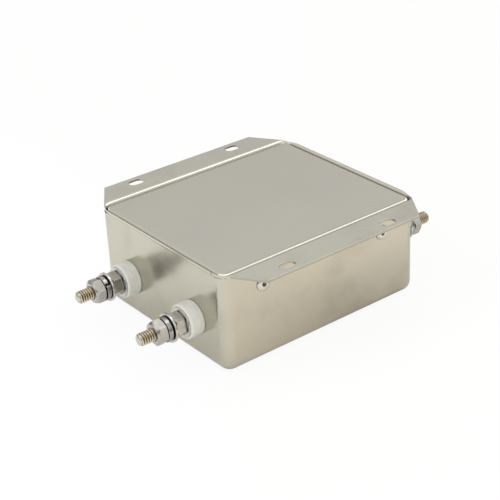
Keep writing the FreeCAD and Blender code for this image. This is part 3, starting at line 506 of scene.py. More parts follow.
def make_can(finish):
    """The drawn can: its profile carried round a rectangle with round corners, and its holes.

    A point is the path's point plus the outward normal times the profile's offset, at the
    profile's height.
    """
    x_stops = stops(*LONG_COLUMNS, (half_length - CORNER_ROUND, LAST_COLUMNS))
    y_stops = stops(*END_COLUMNS, (half_width - CORNER_ROUND, LAST_COLUMNS))
    points, normals = rounded_path(half_length, half_width, CORNER_ROUND, x_stops, y_stops, CORNER_STEPS)
    parts = can_profile(trim_reach(points, normals))
    first_row = dict(zip(parts, np.cumsum([0] + [len(part) for part in parts.values()])))
    profile = np.concatenate(list(parts.values()))
    table = np.concatenate([points + normals * profile[..., :1], profile[..., 1:]], -1)

    walls = {"load": y_stops, "b": x_stops, "line": y_stops, "a": x_stops}
    counts = [len(run) + CORNER_STEPS - 1 for run in walls.values()]
    first_column = dict(zip(walls, np.cumsum([0] + counts)))
    keep = np.ones((len(table) - 1, len(points)), bool)
    holes = []

    def columns_near(wall, middle, reach):
        return first_column[wall] + between(walls[wall], middle - reach, middle + reach)

    def wall_rows_near(middle, reach):
        rows = between(can_wall_rows, middle - reach, middle + reach)
        return first_row["inner wall"] + rows, first_row["outer wall"] + len(can_wall_rows) - 1 - rows

    def flange_rows_near(middle, reach):
        rows = between(can_flange_rows, middle - reach, middle + reach) - 1
        return first_row["top"] + rows, first_row["below"] + len(can_flange_rows) - 2 - rows

    def cut(rows, columns, middle, across, rise, radius, straight=0):
        """Clears a block of both skins and fills it with sheet that has a hole."""
        through = np.cross(across, rise)
        outlines, rims = [block_line(table, skin, columns) for skin in rows], []
        for skin, outline in zip(rows, outlines):
            keep[min(skin):max(skin), columns[0]:columns[-1]] = False
            level = middle + through * ((outline[0] - middle) @ through)
            rims.append(hole_line(outline, level, across, rise, straight, radius))
        holes.append(pierced(*outlines, *rims))

    for side_name, side in SIDES.items():
        for end_name, end in ENDS.items():
            place = np.array([end * rivet_along, side * half_width, rivet_up])
            cut(wall_rows_near(rivet_up, RIVET_BLOCK),
                columns_near(side_name, -side * place[0], RIVET_BLOCK), place, ALONG, UP, RIVET_HOLE)
            place = np.array([end * SLOT_PITCH / 2, side * (half_width + SLOT_OUT), can_height])
            cut(flange_rows_near(SLOT_OUT, SLOT_BLOCK[1]),
                columns_near(side_name, -side * place[0], SLOT_BLOCK[0]), place, ALONG, ACROSS,
                SLOT_RADIUS, SLOT_HALF - SLOT_RADIUS)
            place = np.array([end * half_length, side * stud_across, stud_up])
            cut(wall_rows_near(stud_up, BUSH_BLOCK),
                columns_near(end_name, end * place[1], BUSH_BLOCK), place, ACROSS, UP, BUSH_HOLE)

    inner_floor = flat_face(table[0, :, :2], CAN_GAUGE, FLAT_SHARES)
    outer_floor = flat_face(table[-1, :, :2], 0, FLAT_SHARES[::-1])
    shell = [grid(inner_floor, closed=True), grid(table, closed=True, keep=keep),
             grid(outer_floor, closed=True)] + holes
    make_piece("drawn_can", [shell], finish, "can_plating", "housing_can")


# Cover
def make_cover(finish):
    """Folded sheet: a flat top, a fold all round, and a skirt below each straight fold.

    The fold's outside and inside are quarter circles carried round a rectangle with round
    corners. Each skirt is the fold's edge and the same edge lowered, long at the sides and
    short at the ends, and the corners between the skirts stay open.
    """
    low, high = corners("cover_plate")
    top, foot = high[2], low[2]
    fold_foot = top - COVER_GAUGE - COVER_FOLD
    outer_fold = COVER_GAUGE + COVER_FOLD
    run_x, run_y = (stops((reach - COVER_CORNER, count)) for reach, count in zip(high, COVER_COLUMNS))
    points, normals = rounded_path(high[0], high[1], COVER_CORNER, run_x, run_y, COVER_FAN)

    def carried(profile):
        skin = points + normals * profile[:, None, :1]
        return np.concatenate([skin, np.repeat(profile[:, None, 1:], len(points), 1)], -1)

    outer = carried(arc((-outer_fold, fold_foot), outer_fold, 90, 0, COVER_FOLD_STEPS[0]))
    inner = carried(arc((-outer_fold, fold_foot), COVER_FOLD, 0, 90, COVER_FOLD_STEPS[1]))
    over = flat_face(outer[0, :, :2], top, COVER_SHARES)
    beneath = flat_face(inner[-1, :, :2], top - COVER_GAUGE, FLAT_SHARES[::-1])
    shell = [grid(rows, closed=True) for rows in (over, outer, inner, beneath)]

    edge = np.stack([outer[-1], inner[0]])
    first = 0
    for quarter in range(4):
        run, depth = ((run_y, top - COVER_END_LIP), (run_x, foot))[quarter % 2]
        columns = np.arange(first, first + len(run))
        drop = np.array([0, 0, depth - fold_foot])
        skirt = np.stack([outer[-1, columns], outer[-1, columns] + drop,
                          inner[0, columns] + drop, inner[0, columns]])
        shell.append(grid(skirt))
        for column in (0, -1):
            shell.append(grid(np.stack([skirt[:2, column], skirt[:1:-1, column]])))
        corner = np.arange(columns[-1], columns[-1] + COVER_FAN + 1) % len(points)
        shell.append(grid(edge[:, corner]))
        first += len(run) + COVER_FAN - 1
    make_piece("lid", [shell], finish, "cover_plating", "cover_plate")


# Threads
def thread_depth(turns):
    """Depth below the crest at a number of turns: flat crest, straight flank, flat root."""
    root, crest = FLANKS
    from_middle = np.abs(turns % 1 - 0.5) * 2
    return THREAD_DEPTH * np.clip((crest - from_middle) / (crest - root), 0, 1)


def helix_rows(start, end, angles):
    """X of rows that follow the thread, clipped to its length: pitch times (row + angle / full turn)."""
    first = math.floor(start / PITCH - angles.max() / (2 * np.pi))
    last = math.ceil(end / PITCH - angles.min() / (2 * np.pi))
    turns = (np.arange(first, last + 1)[:, None] + THREAD_ROWS).reshape(-1, 1) + angles / (2 * np.pi)
    return np.clip(turns * PITCH, start, end)


def make_stud(end, side, finish):
    """A threaded stud with chamfered, slightly domed ends.

    The radius is the smaller of the thread's and the chamfer's, which grows by as much as the
    row is from the end. A dome's height is the crown times 1 minus the radius share squared.
    """
    name = "terminal_stud_%s_%s" % (end, side)
    low, high = corners(name)
    reach = max(abs(low[0]), abs(high[0])) - half_length
    inner = min(abs(low[0]), abs(high[0])) - half_length
    radius = (high[2] - low[2]) / 2
    angles = np.linspace(0, 2 * np.pi, STUD_SPOTS + 1)
    along = helix_rows(inner + STUD_CROWN, reach - STUD_CROWN, angles)
    nose = radius - STUD_CHAMFER - STUD_CROWN
    tip = np.minimum(nose + (reach - along), nose + (along - inner))
    depth = thread_depth(along / PITCH - angles / (2 * np.pi))
    body = spun(np.stack([along, np.minimum(radius - depth, tip)], -1), angles)
    share = np.linspace(1, 0, DOME_ROWS)[:, None, None]
    shell = [grid(at_stud(body, end, side))]
    for line, middle, inward in ((body[0], inner, 1), (body[-1], reach, -1)):
        dome = line * (0, 1, 1) * share + (middle, 0, 0)
        dome[..., 0] += inward * STUD_CROWN * share[..., 0] ** 2
        shell.append(grid(at_stud(dome, end, side)))
    make_piece("stud_%s_%s" % (end, side), [shell], finish, "stud_brass", name)


# Nuts
def hex_radius(angles, flats, soft):
    """Distance from the axis to a hexagon whose corners are rounded.

    Along a flat it is half the width across flats over the cosine of the angle from the flat's
    middle, and round a corner the farther root of the circle's quadratic.
    """
    lean = (angles + np.pi / 6) % (np.pi / 3) - np.pi / 6
    side = flats / 2 / np.cos(lean)
    centre = (flats / 2 - soft) * np.array([1, math.tan(math.pi / 6)])
    half = centre[0] * np.cos(lean) + centre[1] * np.sin(np.abs(lean))
    bow = half + np.sqrt(np.maximum(soft ** 2 - centre @ centre + half ** 2, 0))
    return np.where(side * np.sin(np.abs(lean)) <= centre[1], side, bow)


def hex_angles():
    """Angles once round, closer together near the corners: even steps minus a sine of them."""
    share = np.linspace(0, 1, FACE_SPOTS + 1)[:-1]
    share = share - CORNER_CROWD * np.sin(2 * np.pi * share)
    return ((np.arange(6)[:, None] + share) * np.pi / 3 + np.pi / 6).reshape(-1)


def nut_shell(end, side, out, height, spin):
    """A nut on a stud: the hexagon's chamfered outside, and a bore whose thread follows the stud's.

    A chamfer stands back by its slope times the radius beyond the flat's. The bore's radius is
    the greater of the thread's and the countersink's, which shrinks by as much as the row is
    from the end.
    """
    hexagon = hex_angles()
    radius = hex_radius(hexagon, NUT_FLATS, NUT_CORNER_SOFT)
    chamfer = (radius - NUT_FACE) * NUT_SLOPE
    seat = (radius - NUT_SEAT) * NUT_SEAT_SLOPE
    far, same = out + height, np.ones_like(radius)
    profile = np.stack([np.stack([along * same, across * same], -1) for along, across in (
        (out, COUNTERSINK), (out, NUT_SEAT), (out + seat, radius), (far - chamfer, radius),
        (far, NUT_FACE), (far, COUNTERSINK))])
    angles = hexagon + math.radians(spin)
    outside = spun(softened(profile, NUT_EDGE_SOFT), angles)
    wide = np.concatenate([angles, angles[:1] + 2 * np.pi])
    along = helix_rows(out, far, wide)
    crest = stud_radius + THREAD_PLAY - thread_depth(along / PITCH - wide / (2 * np.pi))
    mouth = COUNTERSINK - np.minimum(along - out, far - along)
    bore = spun(np.stack([along, np.maximum(crest, mouth)], -1), wide)
    return [grid(at_stud(outside, end, side), closed=True), grid(at_stud(bore, end, side))]


def make_nuts(node, name, spins, finish, deeper=0):
    """A nut on each stud, its outer face where the solid's is."""
    reach, height = corners(node)[1][0] - half_length, NUT_HEIGHT + deeper
    shells = [nut_shell(end, side, reach - height, height, spins[end, side]) for end, side in STUDS]
    make_piece(name, shells, finish, "nut_plating", node)


# Washers
def ring_section(inner, outer, bore, outside, soft):
    """A rectangle of (out from the wall, radius) with soft corners."""
    return closed_profile([(inner, bore), (inner, outside), (outer, outside), (outer, bore)], soft)


def make_washers(node, name, finish, wider=0, thinner=0):
    """A flat washer on each stud, its inner face where the solid's is."""
    high = corners(node)[1]
    inner = high[0] - half_length - WASHER_GAUGE
    outer = high[0] - half_length - thinner
    bore, outside = stud_radius + WASHER_PLAY, high[1] - stud_across + wider
    profile = ring_section(inner, outer, bore, outside, WASHER_SOFT)
    shells = [turned_ring(end, side, profile, WASHER_SPOTS) for end, side in STUDS]
    make_piece(name, shells, finish, "washer_plating", node)


def make_spring_washers(finish):
    """Split washers: a rectangular section with soft corners, carried along one turn of a helix.

    It moves outwards by the rise times the share of a full turn. Both cut ends shrink to the
    section's middle, which closes them.
    """
    high = corners("spring_washers")[1]
    start = high[0] - half_length - SPRING_SECTION - SPRING_RISE * SPRING_TURN / 360
    bore, outside = stud_radius + WASHER_PLAY, high[1] - stud_across
    section = ring_section(0, SPRING_SECTION, bore, outside, SPRING_SOFT)
    middle = np.array([SPRING_SECTION / 2, (bore + outside) / 2])
    inset, centre = middle + (section - middle) * SPRING_INSET, middle + section * 0
    turns = np.radians(np.pad(np.linspace(0, SPRING_TURN, SPRING_SPOTS), 2, mode="edge"))
    turns[2] += math.radians(SPRING_SKEW)
    turns[-3] -= math.radians(SPRING_SKEW)
    sections = np.stack([centre, inset] + [section] * SPRING_SPOTS + [inset, centre])
    along = sections[..., 0] + start + SPRING_RISE * turns[:, None] / (2 * np.pi)
    shells = []
    for end, side in STUDS:
        around = math.radians(SPRING_SPIN[end, side]) - turns[:, None]
        shells.append([grid(at_stud(spun(np.stack([along, sections[..., 1]], -1), around), end, side))])
    make_piece("lock_washers", shells, finish, "spring_plating", "spring_washers")


# Bushes
def make_bush(end, side, finish):
    """A turned bush: spigot in the wall, shallow grooves round the outside and an eased front edge."""
    name = "outer_bush_%s_%s" % (end, side)
    low, high = corners(name)
    outside = (high[2] - low[2]) / 2
    front = max(abs(low[0]), abs(high[0])) - half_length
    back = min(abs(low[0]), abs(high[0])) - half_length
    bore = stud_radius + THREAD_PLAY
    line = [(back, SPIGOT_RADIUS), (0, SPIGOT_RADIUS), (0, outside)]
    for groove in GROOVES:
        line += [(groove - GROOVE_HALF, outside), (groove, outside - GROOVE_DEPTH),
                 (groove + GROOVE_HALF, outside)]
    line += [(front - BUSH_EASE, outside), (front, outside - BUSH_EASE), (front, bore), (back, bore)]
    ring = turned_ring(end, side, closed_profile(line, BUSH_SOFT), BUSH_SPOTS)
    make_piece("bush_%s_%s" % (end, side), [ring], finish, "bush_cream", name)


# Rivets
def make_rivets(finish):
    """Domed and dished head outside the can, shank through both sheets and upset collar inside.

    The profile of (out from the wall, radius) is carried round X and then turned to face +-Y.
    """
    rise = rivet_high[1] - half_width
    collar_end = -RIVET_GRIP - RIVET_COLLAR_LENGTH
    straight = -RIVET_GRIP - RIVET_COLLAR_LENGTH * RIVET_COLLAR_STRAIGHT
    line = [(-RIVET_GRIP, RIVET_SHANK), (0, RIVET_SHANK), *RIVET_DOME, (rise, RIVET_RIM), *RIVET_DISH,
            (collar_end, RIVET_BORE), (collar_end, RIVET_COLLAR_TIP), (straight, RIVET_COLLAR),
            (-RIVET_GRIP, RIVET_COLLAR)]
    profile = closed_profile(line, RIVET_SOFT)
    out, across, up = np.moveaxis(spun(profile, full_turn(RIVET_SPOTS)), -1, 0)
    shells = []
    for side in SIDES.values():
        for end in ENDS.values():
            turned = np.stack([-side * across, side * (half_width + out), up], -1)
            shells.append([grid(turned + (end * rivet_along, 0, rivet_up), closed=True)])
    make_piece("hollow_rivets", shells, finish, "rivet_plating", "cover_rivets")


# Colours of the materials' marks, painted shade and highlights among them
HANDLED_SPOT = (0.40, 0.365, 0.29)
# painted shadow on the end walls just under the lip
LIP_SHADOW = (0.34, 0.32, 0.27)
LIP_PALE = (0.60, 0.578, 0.505)
# painted shade on the cut edges of the flanges and their slots
CUT_EDGE_SHADE = (0.24, 0.225, 0.19)
# painted shade at the can's foot, darker towards the bottom
FOOT_SHADE = (0.30, 0.28, 0.235)
# painted shade line on the cover beside its long folds
FOLD_SHADE_LINE = (0.26, 0.245, 0.21)
# painted highlight on the cover's top corners
CORNER_HIGHLIGHT = (0.96, 0.94, 0.84)
# dirt and painted shade in the thread roots
ROOT_DIRT_AND_SHADE = (0.22, 0.16, 0.10)
STUD_END = (0.60, 0.60, 0.51)

# Stretch over which a mark grows or fades, in millimetres past the face that it lies beside
SHADOW_PAST_WALL = (0.01, 0.06)
PALE_PAST_WALL = (0.14, 0.2)
CUT_PAST_WALL = (1.2, 1.4)
CUT_ABOVE_UNDERSIDE = (0.03, 0.13)
CUT_BELOW_TOP = (-0.15, -0.06)
SHADE_ABOVE_FOOT = (1.4, 3)
LINE_BEFORE_FOLD = (-0.75, -0.55)
LINE_AT_FOLD = (-0.05, 0.1)
HIGHLIGHT_FROM_EDGE = (-4.2, -3.2)
HIGHLIGHT_BELOW_TOP = (-0.08, -0.03)
BRIGHT_BELOW_CREST = (-THREAD_DEPTH, -0.1)
PALE_BEFORE_TIP = (-0.6, 0)

# Two colours that a finish clouds between, and for the plated ones the range of the roughness too
BRASS = ((0.80, 0.73, 0.59), (0.69, 0.61, 0.47))
CREAM = ((0.765, 0.745, 0.69), (0.70, 0.68, 0.62))
CAN_PLATING = ("can plating", (0.580, 0.553, 0.470), (0.555, 0.538, 0.468), (0.18, 0.24))
COVER_PLATING = ("cover plating", (0.553, 0.530, 0.455), (0.535, 0.520, 0.457), (0.30, 0.38))
RIVET_PLATING = ("rivet plating", (0.70, 0.69, 0.68), (0.62, 0.61, 0.60), (0.18, 0.30))
WASHER_PLATING = ("washer plating", (0.66, 0.65, 0.63), (0.58, 0.57, 0.55), (0.20, 0.32))
SPRING_PLATING = ("spring plating", (0.44, 0.43, 0.42), (0.34, 0.33, 0.32), (0.18, 0.30))
NUT_PLATING = ("nut plating", (0.54, 0.52, 0.485), (0.43, 0.415, 0.39), (0.18, 0.28))


# Materials, with each finish's own marks and its painted shade and highlights
class Nodes:
    """A node tree that is filled one call at a time."""

    def __init__(self, tree):
        self.tree = tree

    def add(self, kind, inputs=None, **settings):
        """A node with its settings made, and its inputs fed from values or from other nodes."""
        node = self.tree.nodes.new(kind)
        for key, value in settings.items():
            setattr(node, key, value)
        for key, value in (inputs or {}).items():
            self.feed(node.inputs[key], value)
        return node

    def feed(self, socket, value):
        if isinstance(value, bpy.types.NodeSocket):
            self.tree.links.new(value, socket)
        else:
            socket.default_value = value + (1,) if socket.type == "RGBA" else value

    def coordinates(self, kind="Object"):
        return self.add("ShaderNodeTexCoord").outputs[kind]

    def apart(self, vector):
        """X, Y and Z of a vector."""
        return tuple(self.add("ShaderNodeSeparateXYZ", {"Vector": vector}).outputs)

    def worked(self, operation, one, other=0.0):
        """One step of arithmetic."""
        return self.add("ShaderNodeMath", {0: one, 1: other}, operation=operation).outputs[0]

    def times(self, one, other):
        return self.worked("MULTIPLY", one, other)

    def distance(self, vector):
        return self.add("ShaderNodeVectorMath", {0: vector}, operation="LENGTH").outputs["Value"]

    def ranged(self, value, low=0, high=1, start=0.3, end=0.7, way="LINEAR"):
        """A value's range from start to end, spread from low to high and held there beyond it."""
        return self.add("ShaderNodeMapRange", {"Value": value, "From Min": start, "From Max": end,
                                               "To Min": low, "To Max": high},
                        interpolation_type=way).outputs["Result"]

    def mixed(self, share, one, other, **settings):
        """A colour between two, by a share."""
        node = self.add("ShaderNodeMix", {0: share, 6: one, 7: other}, data_type="RGBA", **settings)
        return node.outputs[2]

    def shaders_mixed(self, share, one, other):
        return self.add("ShaderNodeMixShader", {0: share, 1: one, 2: other}).outputs[0]

    def either_ray(self, first, *others):
        """1 where the ray is of one of the named kinds, otherwise 0."""
        rays = self.add("ShaderNodeLightPath").outputs
        found = rays[first]
        for name in others:
            found = self.worked("MAXIMUM", found, rays[name])
        return found


class Finish(Nodes):
    """A material of one shader, with its patterns on object coordinates, which are in metres."""

    def __init__(self, name):
        self.material = bpy.data.materials.new(name)
        self.material.use_nodes = True
        super().__init__(self.material.node_tree)
        self.shader = self.tree.nodes["Principled BSDF"]
        self.place = self.coordinates()

    def folded(self):
        """Distance from the middle along X and along Y, and height."""
        out, side, up = self.apart(self.place)
        return self.worked("ABSOLUTE", out), self.worked("ABSOLUTE", side), up

    def noise(self, scale, detail=3, rough=0.5):
        """Cloudy pattern. Its scale, for all axes or for each, is spots to the metre."""
        scale = scale if isinstance(scale, tuple) else (scale,) * 3
        vector = self.add("ShaderNodeMapping", {"Vector": self.place, "Scale": scale}).outputs["Vector"]
        return self.add("ShaderNodeTexNoise", {"Vector": vector, "Scale": 1, "Detail": detail,
                                               "Roughness": rough}).outputs["Fac"]

    def growing(self, value, face, stretch, top=1):
        """A share that grows from 0 to top over a stretch of millimetres past a face."""
        start, end = stretch
        return self.ranged(value, 0, top, (face + start) * MM, (face + end) * MM)

    def fading(self, value, face, stretch, top=1):
        """A share that fades from top to 0 over a stretch of millimetres past a face."""
        start, end = stretch
        return self.ranged(value, top, 0, (face + start) * MM, (face + end) * MM)

    def bumped(self, height, distance, strength=0.3, under=None):
        """Normals tilted by a pattern taken as a height of so many metres."""
        inputs = {"Height": height, "Distance": distance, "Strength": strength}
        if under is not None:
            inputs["Normal"] = under
        return self.add("ShaderNodeBump", inputs).outputs["Normal"]

    def crease_shaded(self, colour, reach, darkest=0.36):
        """The colour with painted shade, darker where other surfaces crowd it within a reach in metres.
        """
        # painted shade in creases, from how near other surfaces stand
        crowd = self.add("ShaderNodeAmbientOcclusion", {"Distance": reach}, samples=6).outputs["AO"]
        shade = self.ranged(crowd, low=darkest, start=0.15, end=0.75)
        grey = self.add("ShaderNodeCombineColor", {name: shade for name in ("Red", "Green", "Blue")})
        return self.mixed(1.0, colour, grey.outputs[0], blend_type="MULTIPLY")

    def set(self, **values):
        """The shader's inputs, with _ for the spaces in their names."""
        for key, value in values.items():
            self.feed(self.shader.inputs[key.replace("_", " ")], value)
        return self.material


def can_marks(finish, colour):
    """The can's marks: handled spots, a pale lip over a painted shadow, and painted shade on cut edges
    and foot.
    """
    out, side, up = finish.folded()
    handled = finish.ranged(finish.noise(48, rough=0.55), high=0.3, start=0.5, end=0.68)
    colour = finish.mixed(handled, colour, HANDLED_SPOT)
    # painted shadow just under the lip of the end walls
    shadow = finish.growing(out, half_length, SHADOW_PAST_WALL, top=0.75)
    colour = finish.mixed(shadow, colour, LIP_SHADOW)
    colour = finish.mixed(finish.growing(out, half_length, PALE_PAST_WALL), colour, LIP_PALE)
    # painted shade on the cut edges, across the flange's thickness
    gauge = finish.times(finish.growing(up, can_height - CAN_GAUGE, CUT_ABOVE_UNDERSIDE),
                         finish.fading(up, can_height, CUT_BELOW_TOP))
    edge = finish.times(gauge, finish.growing(side, half_width, CUT_PAST_WALL, top=0.45))
    colour = finish.mixed(edge, colour, CUT_EDGE_SHADE)
    # painted shade at the foot, darker towards the bottom where the base edge meets the floor
    return finish.mixed(finish.fading(up, 0, SHADE_ABOVE_FOOT, top=0.5), colour, FOOT_SHADE)


def cover_marks(finish, colour):
    """The cover's marks: a painted shade line beside its long folds, and painted highlights on its
    corners.
    """
    high = corners("cover_plate")[1]
    out, side, up = finish.folded()
    fold = high[1] - COVER_GAUGE - COVER_FOLD
    # painted shade line just inside the long folds
    line = finish.times(finish.growing(side, fold, LINE_BEFORE_FOLD, top=0.35),
                        finish.fading(side, fold, LINE_AT_FOLD))
    colour = finish.mixed(line, colour, FOLD_SHADE_LINE)
    # painted highlight on the top of the cover's corners
    corner = finish.times(finish.growing(out, high[0], HIGHLIGHT_FROM_EDGE),
                          finish.growing(side, high[1], HIGHLIGHT_FROM_EDGE))
    highlight = finish.times(corner, finish.fading(up, high[2], HIGHLIGHT_BELOW_TOP))
    return finish.mixed(highlight, colour, CORNER_HIGHLIGHT)


def plated_sheet(name, warm, cool, shine, marks):
    """Satin nickel-plated steel sheet: faint cloudy tint, fine grain, soft smudges, its marks and
    painted crease shade.
    """
    finish = Finish(name)
    grain, waves = finish.noise(2600, detail=2, rough=0.6), finish.noise(120, detail=2)
    tint, smudges = finish.noise(22, detail=2), finish.noise(60, detail=4, rough=0.6)
    grained = finish.bumped(grain, distance=0.00002, strength=0.35)
    colour = marks(finish, finish.mixed(finish.ranged(tint), warm, cool))
    return finish.set(Base_Color=finish.crease_shaded(colour, reach=0.0013), Metallic=1.0,
                      Roughness=finish.ranged(smudges, *shine),
                      Normal=finish.bumped(waves, distance=0.00012, strength=0.25, under=grained))


def plated_hardware(name, one, other, shine):
    """Plated small hardware: fine tumbling marks, a slightly uneven shine and painted crease shade."""
    finish = Finish(name)
    marks = finish.noise((900, 900, 2250), detail=4, rough=0.65)
    colour = finish.mixed(finish.ranged(finish.noise(260)), one, other)
    return finish.set(Base_Color=finish.crease_shaded(colour, reach=0.0015), Metallic=1.0,
                      Roughness=finish.ranged(marks, *shine),
                      Normal=finish.bumped(marks, distance=0.00001))


def stud_brass():
    """Cut brass thread, dark in its roots with dirt and painted shade, brighter on its crests and paler
    on its ends.
    """
    finish = Finish("stud brass")
    marks = finish.noise((3000, 900, 900), rough=0.6)
    out, side, up = finish.folded()
    from_axis = finish.add("ShaderNodeCombineXYZ", {
        "X": finish.worked("SUBTRACT", side, stud_across * MM),
        "Y": finish.worked("SUBTRACT", up, stud_up * MM)})
    radius = finish.distance(from_axis.outputs[0])
    # dirt and painted shade in the roots, brass towards the crests
    on_crest = finish.growing(radius, stud_radius, BRIGHT_BELOW_CREST)
    crests = finish.mixed(finish.ranged(finish.noise(420)), *BRASS)
    colour = finish.mixed(on_crest, ROOT_DIRT_AND_SHADE, crests)
    tip = stud_high[0] - STUD_CROWN
    colour = finish.mixed(finish.growing(out, tip, PALE_BEFORE_TIP), colour, STUD_END)
    return finish.set(Base_Color=colour, Metallic=1.0,
                      Roughness=finish.ranged(marks, low=0.24, high=0.34),
                      Normal=finish.bumped(marks, distance=0.00001))


def bush_cream():
    """Cream insulating bush: fine turning rings along the stud, faint mottling."""
    finish = Finish("bush cream")
    rings = finish.noise((9000, 60, 60), detail=2)
    colour = finish.mixed(finish.ranged(finish.noise(300)), *CREAM)
    return finish.set(Base_Color=colour, Roughness=finish.ranged(rings, low=0.42, high=0.6),
                      Normal=finish.bumped(rings, distance=0.00005, strength=0.5),
                      Subsurface_Weight=0.05)


def coated(name, one, other, roughness, bump, scale, metallic):
    """Inner pieces: an even coat with a fine mottle."""
    finish = Finish(name)
    mottle = finish.noise(scale, detail=4, rough=0.6)
    return finish.set(Base_Color=finish.mixed(finish.ranged(mottle), one, other), Metallic=metallic,
                      Roughness=finish.ranged(mottle, roughness - 0.06, roughness + 0.06),
                      Normal=finish.bumped(mottle, bump, strength=0.5))


# Name, two colours, middle of the roughness, bump in metres, spots to the metre, share of metal
INNER_FINISHES = {
    "bus_strap": ("strap metal", (0.62, 0.61, 0.58), (0.54, 0.53, 0.50), 0.32, 0.00002, 500, 1.0),
    "component_board": ("board laminate", (0.06, 0.20, 0.09), (0.08, 0.25, 0.11),
                        0.35, 0.00002, 900, 0.0),
    "board_posts": ("post steel", (0.55, 0.54, 0.52), (0.47, 0.46, 0.44), 0.3, 0.00002, 900, 1.0),
    "board_nuts": ("post nut steel", (0.58, 0.57, 0.54), (0.50, 0.49, 0.47), 0.3, 0.00002, 900, 1.0),
    "board_spacers": ("spacer plastic", (0.80, 0.79, 0.74), (0.72, 0.71, 0.66), 0.5, 0.00002, 400, 0.0),
    "inner_bush": ("inner bush cream", (0.70, 0.69, 0.62), (0.64, 0.63, 0.56), 0.5, 0.00003, 300, 0.0),
    "inner_washers": ("inner washer plating", (0.62, 0.61, 0.58), (0.54, 0.53, 0.50),
                      0.3, 0.00002, 700, 1.0),
    "choke_core": ("core coating", (0.03, 0.035, 0.04), (0.05, 0.055, 0.06), 0.5, 0.00004, 500, 0.0),
    "choke_winding": ("winding enamel", (0.48, 0.17, 0.06), (0.40, 0.13, 0.045),
                      0.28, 0.00002, 600, 0.6),
    "film_capacitor": ("film case", (0.75, 0.55, 0.06), (0.68, 0.49, 0.05), 0.35, 0.00002, 500, 0.0),
    "disc_capacitor": ("disc coating", (0.03, 0.12, 0.38), (0.04, 0.15, 0.45), 0.3, 0.00003, 400, 0.0),
    "bleed_resistor": ("resistor lacquer", (0.52, 0.36, 0.20), (0.46, 0.31, 0.17),
                       0.35, 0.00003, 500, 0.0),
}


def finish_inner_nodes():
    """Every CAD node that stays gets the finish of its family."""
    for family, recipe in INNER_FINISHES.items():
        material = coated(*recipe)
        for name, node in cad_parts.items():
            if name.startswith(family) and not node.hide_render:
                node.data.materials.clear()
                node.data.materials.append(material)


# Studio
FLOOR_SIZE = 6.0  # half the floor's width, in metres
FLOOR_GAP = 0.00005  # floor below the closed face, in metres
OPENING_INSET = 5.2  # can's outside to the floor's opening
FLOOR_WHITE = 0.92  # share of pure white in what the camera sees of the floor
FLOOR_SHINE = (0.15, 0.95)  # share of its own glow in metal's view of the floor, near and far
FLOOR_FAR_OFF = (0.3, 0.9)  # where the floor turns into the dark room, in metres
FLOOR_TURN = (-0.03, 0.03)  # where the cool back turns into the warm front, by X less Y in metres
FLOOR_SHADE_X = (-0.04, 0.03)  # where the painted shadow beside the part begins and is full, in metres
FLOOR_SHADE_Y = (-0.108, -0.066)
FLOOR_FRONT = (0.98, 0.925, 0.84)
FLOOR_BACK = (0.95, 0.95, 0.93)
FLOOR_FAR = (0.2, 0.2, 0.19)
FLOOR_SHADE = (0.62, 0.60, 0.56)
WORLD_LEVEL = 0.98
# Shade of the studio as metal sees it, by the height of the ray: dark at the horizon, white above
STUDIO_SHADES = ((0.0, 0.24), (0.1, 0.28), (0.3, 0.6), (0.42, 0.79), (0.58, 0.97), (1.0, 1.0))
# Soft lamps: place and lit face's two widths in metres, and brightness, where 1 is as bright as white
LAMPS = {
    "overhead": ((0.8, 0.0, 1.1), (0.6, 1.1), 1.6),
    "front": ((-0.6, -1.6, 1.2), (1.3, 1.3), 0.6),
    "left": ((-1.6, 0.3, 0.9), (1.2, 1.2), 0.5),
}


def make_camera():
    """Camera looking at the middle of the can; the optical centre's offset becomes the shift."""
    data = bpy.data.cameras.new("camera")
    camera = bpy.data.objects.new("camera", data)
    bpy.context.scene.collection.objects.link(camera)
    turn, rise, roll = (math.radians(value) for value in (VIEW_AZIMUTH, VIEW_ELEVATION, VIEW_ROLL))
    back = Vector((math.sin(turn) * math.cos(rise), -math.cos(turn) * math.cos(rise), math.sin(rise)))
    level = Vector((math.cos(turn), math.sin(turn), 0))
    upward = back.cross(level)
    across = math.cos(roll) * level + math.sin(roll) * upward
    along = -math.sin(roll) * level + math.cos(roll) * upward
    pose = Matrix((across, along, back)).transposed().to_4x4()
    pose.translation = Vector((0, 0, can_height / 2)) * MM + back * VIEW_DISTANCE * MM
    camera.matrix_world = pose
    data.sensor_width = 36
    data.lens = LENS_ON_36
    data.shift_x = (PICTURE / 2 - OPTICAL_CENTRE[0]) / PICTURE
    data.shift_y = (OPTICAL_CENTRE[1] - PICTURE / 2) / PICTURE
    data.clip_start = 0.01
    data.clip_end = 20
    bpy.context.scene.camera = camera


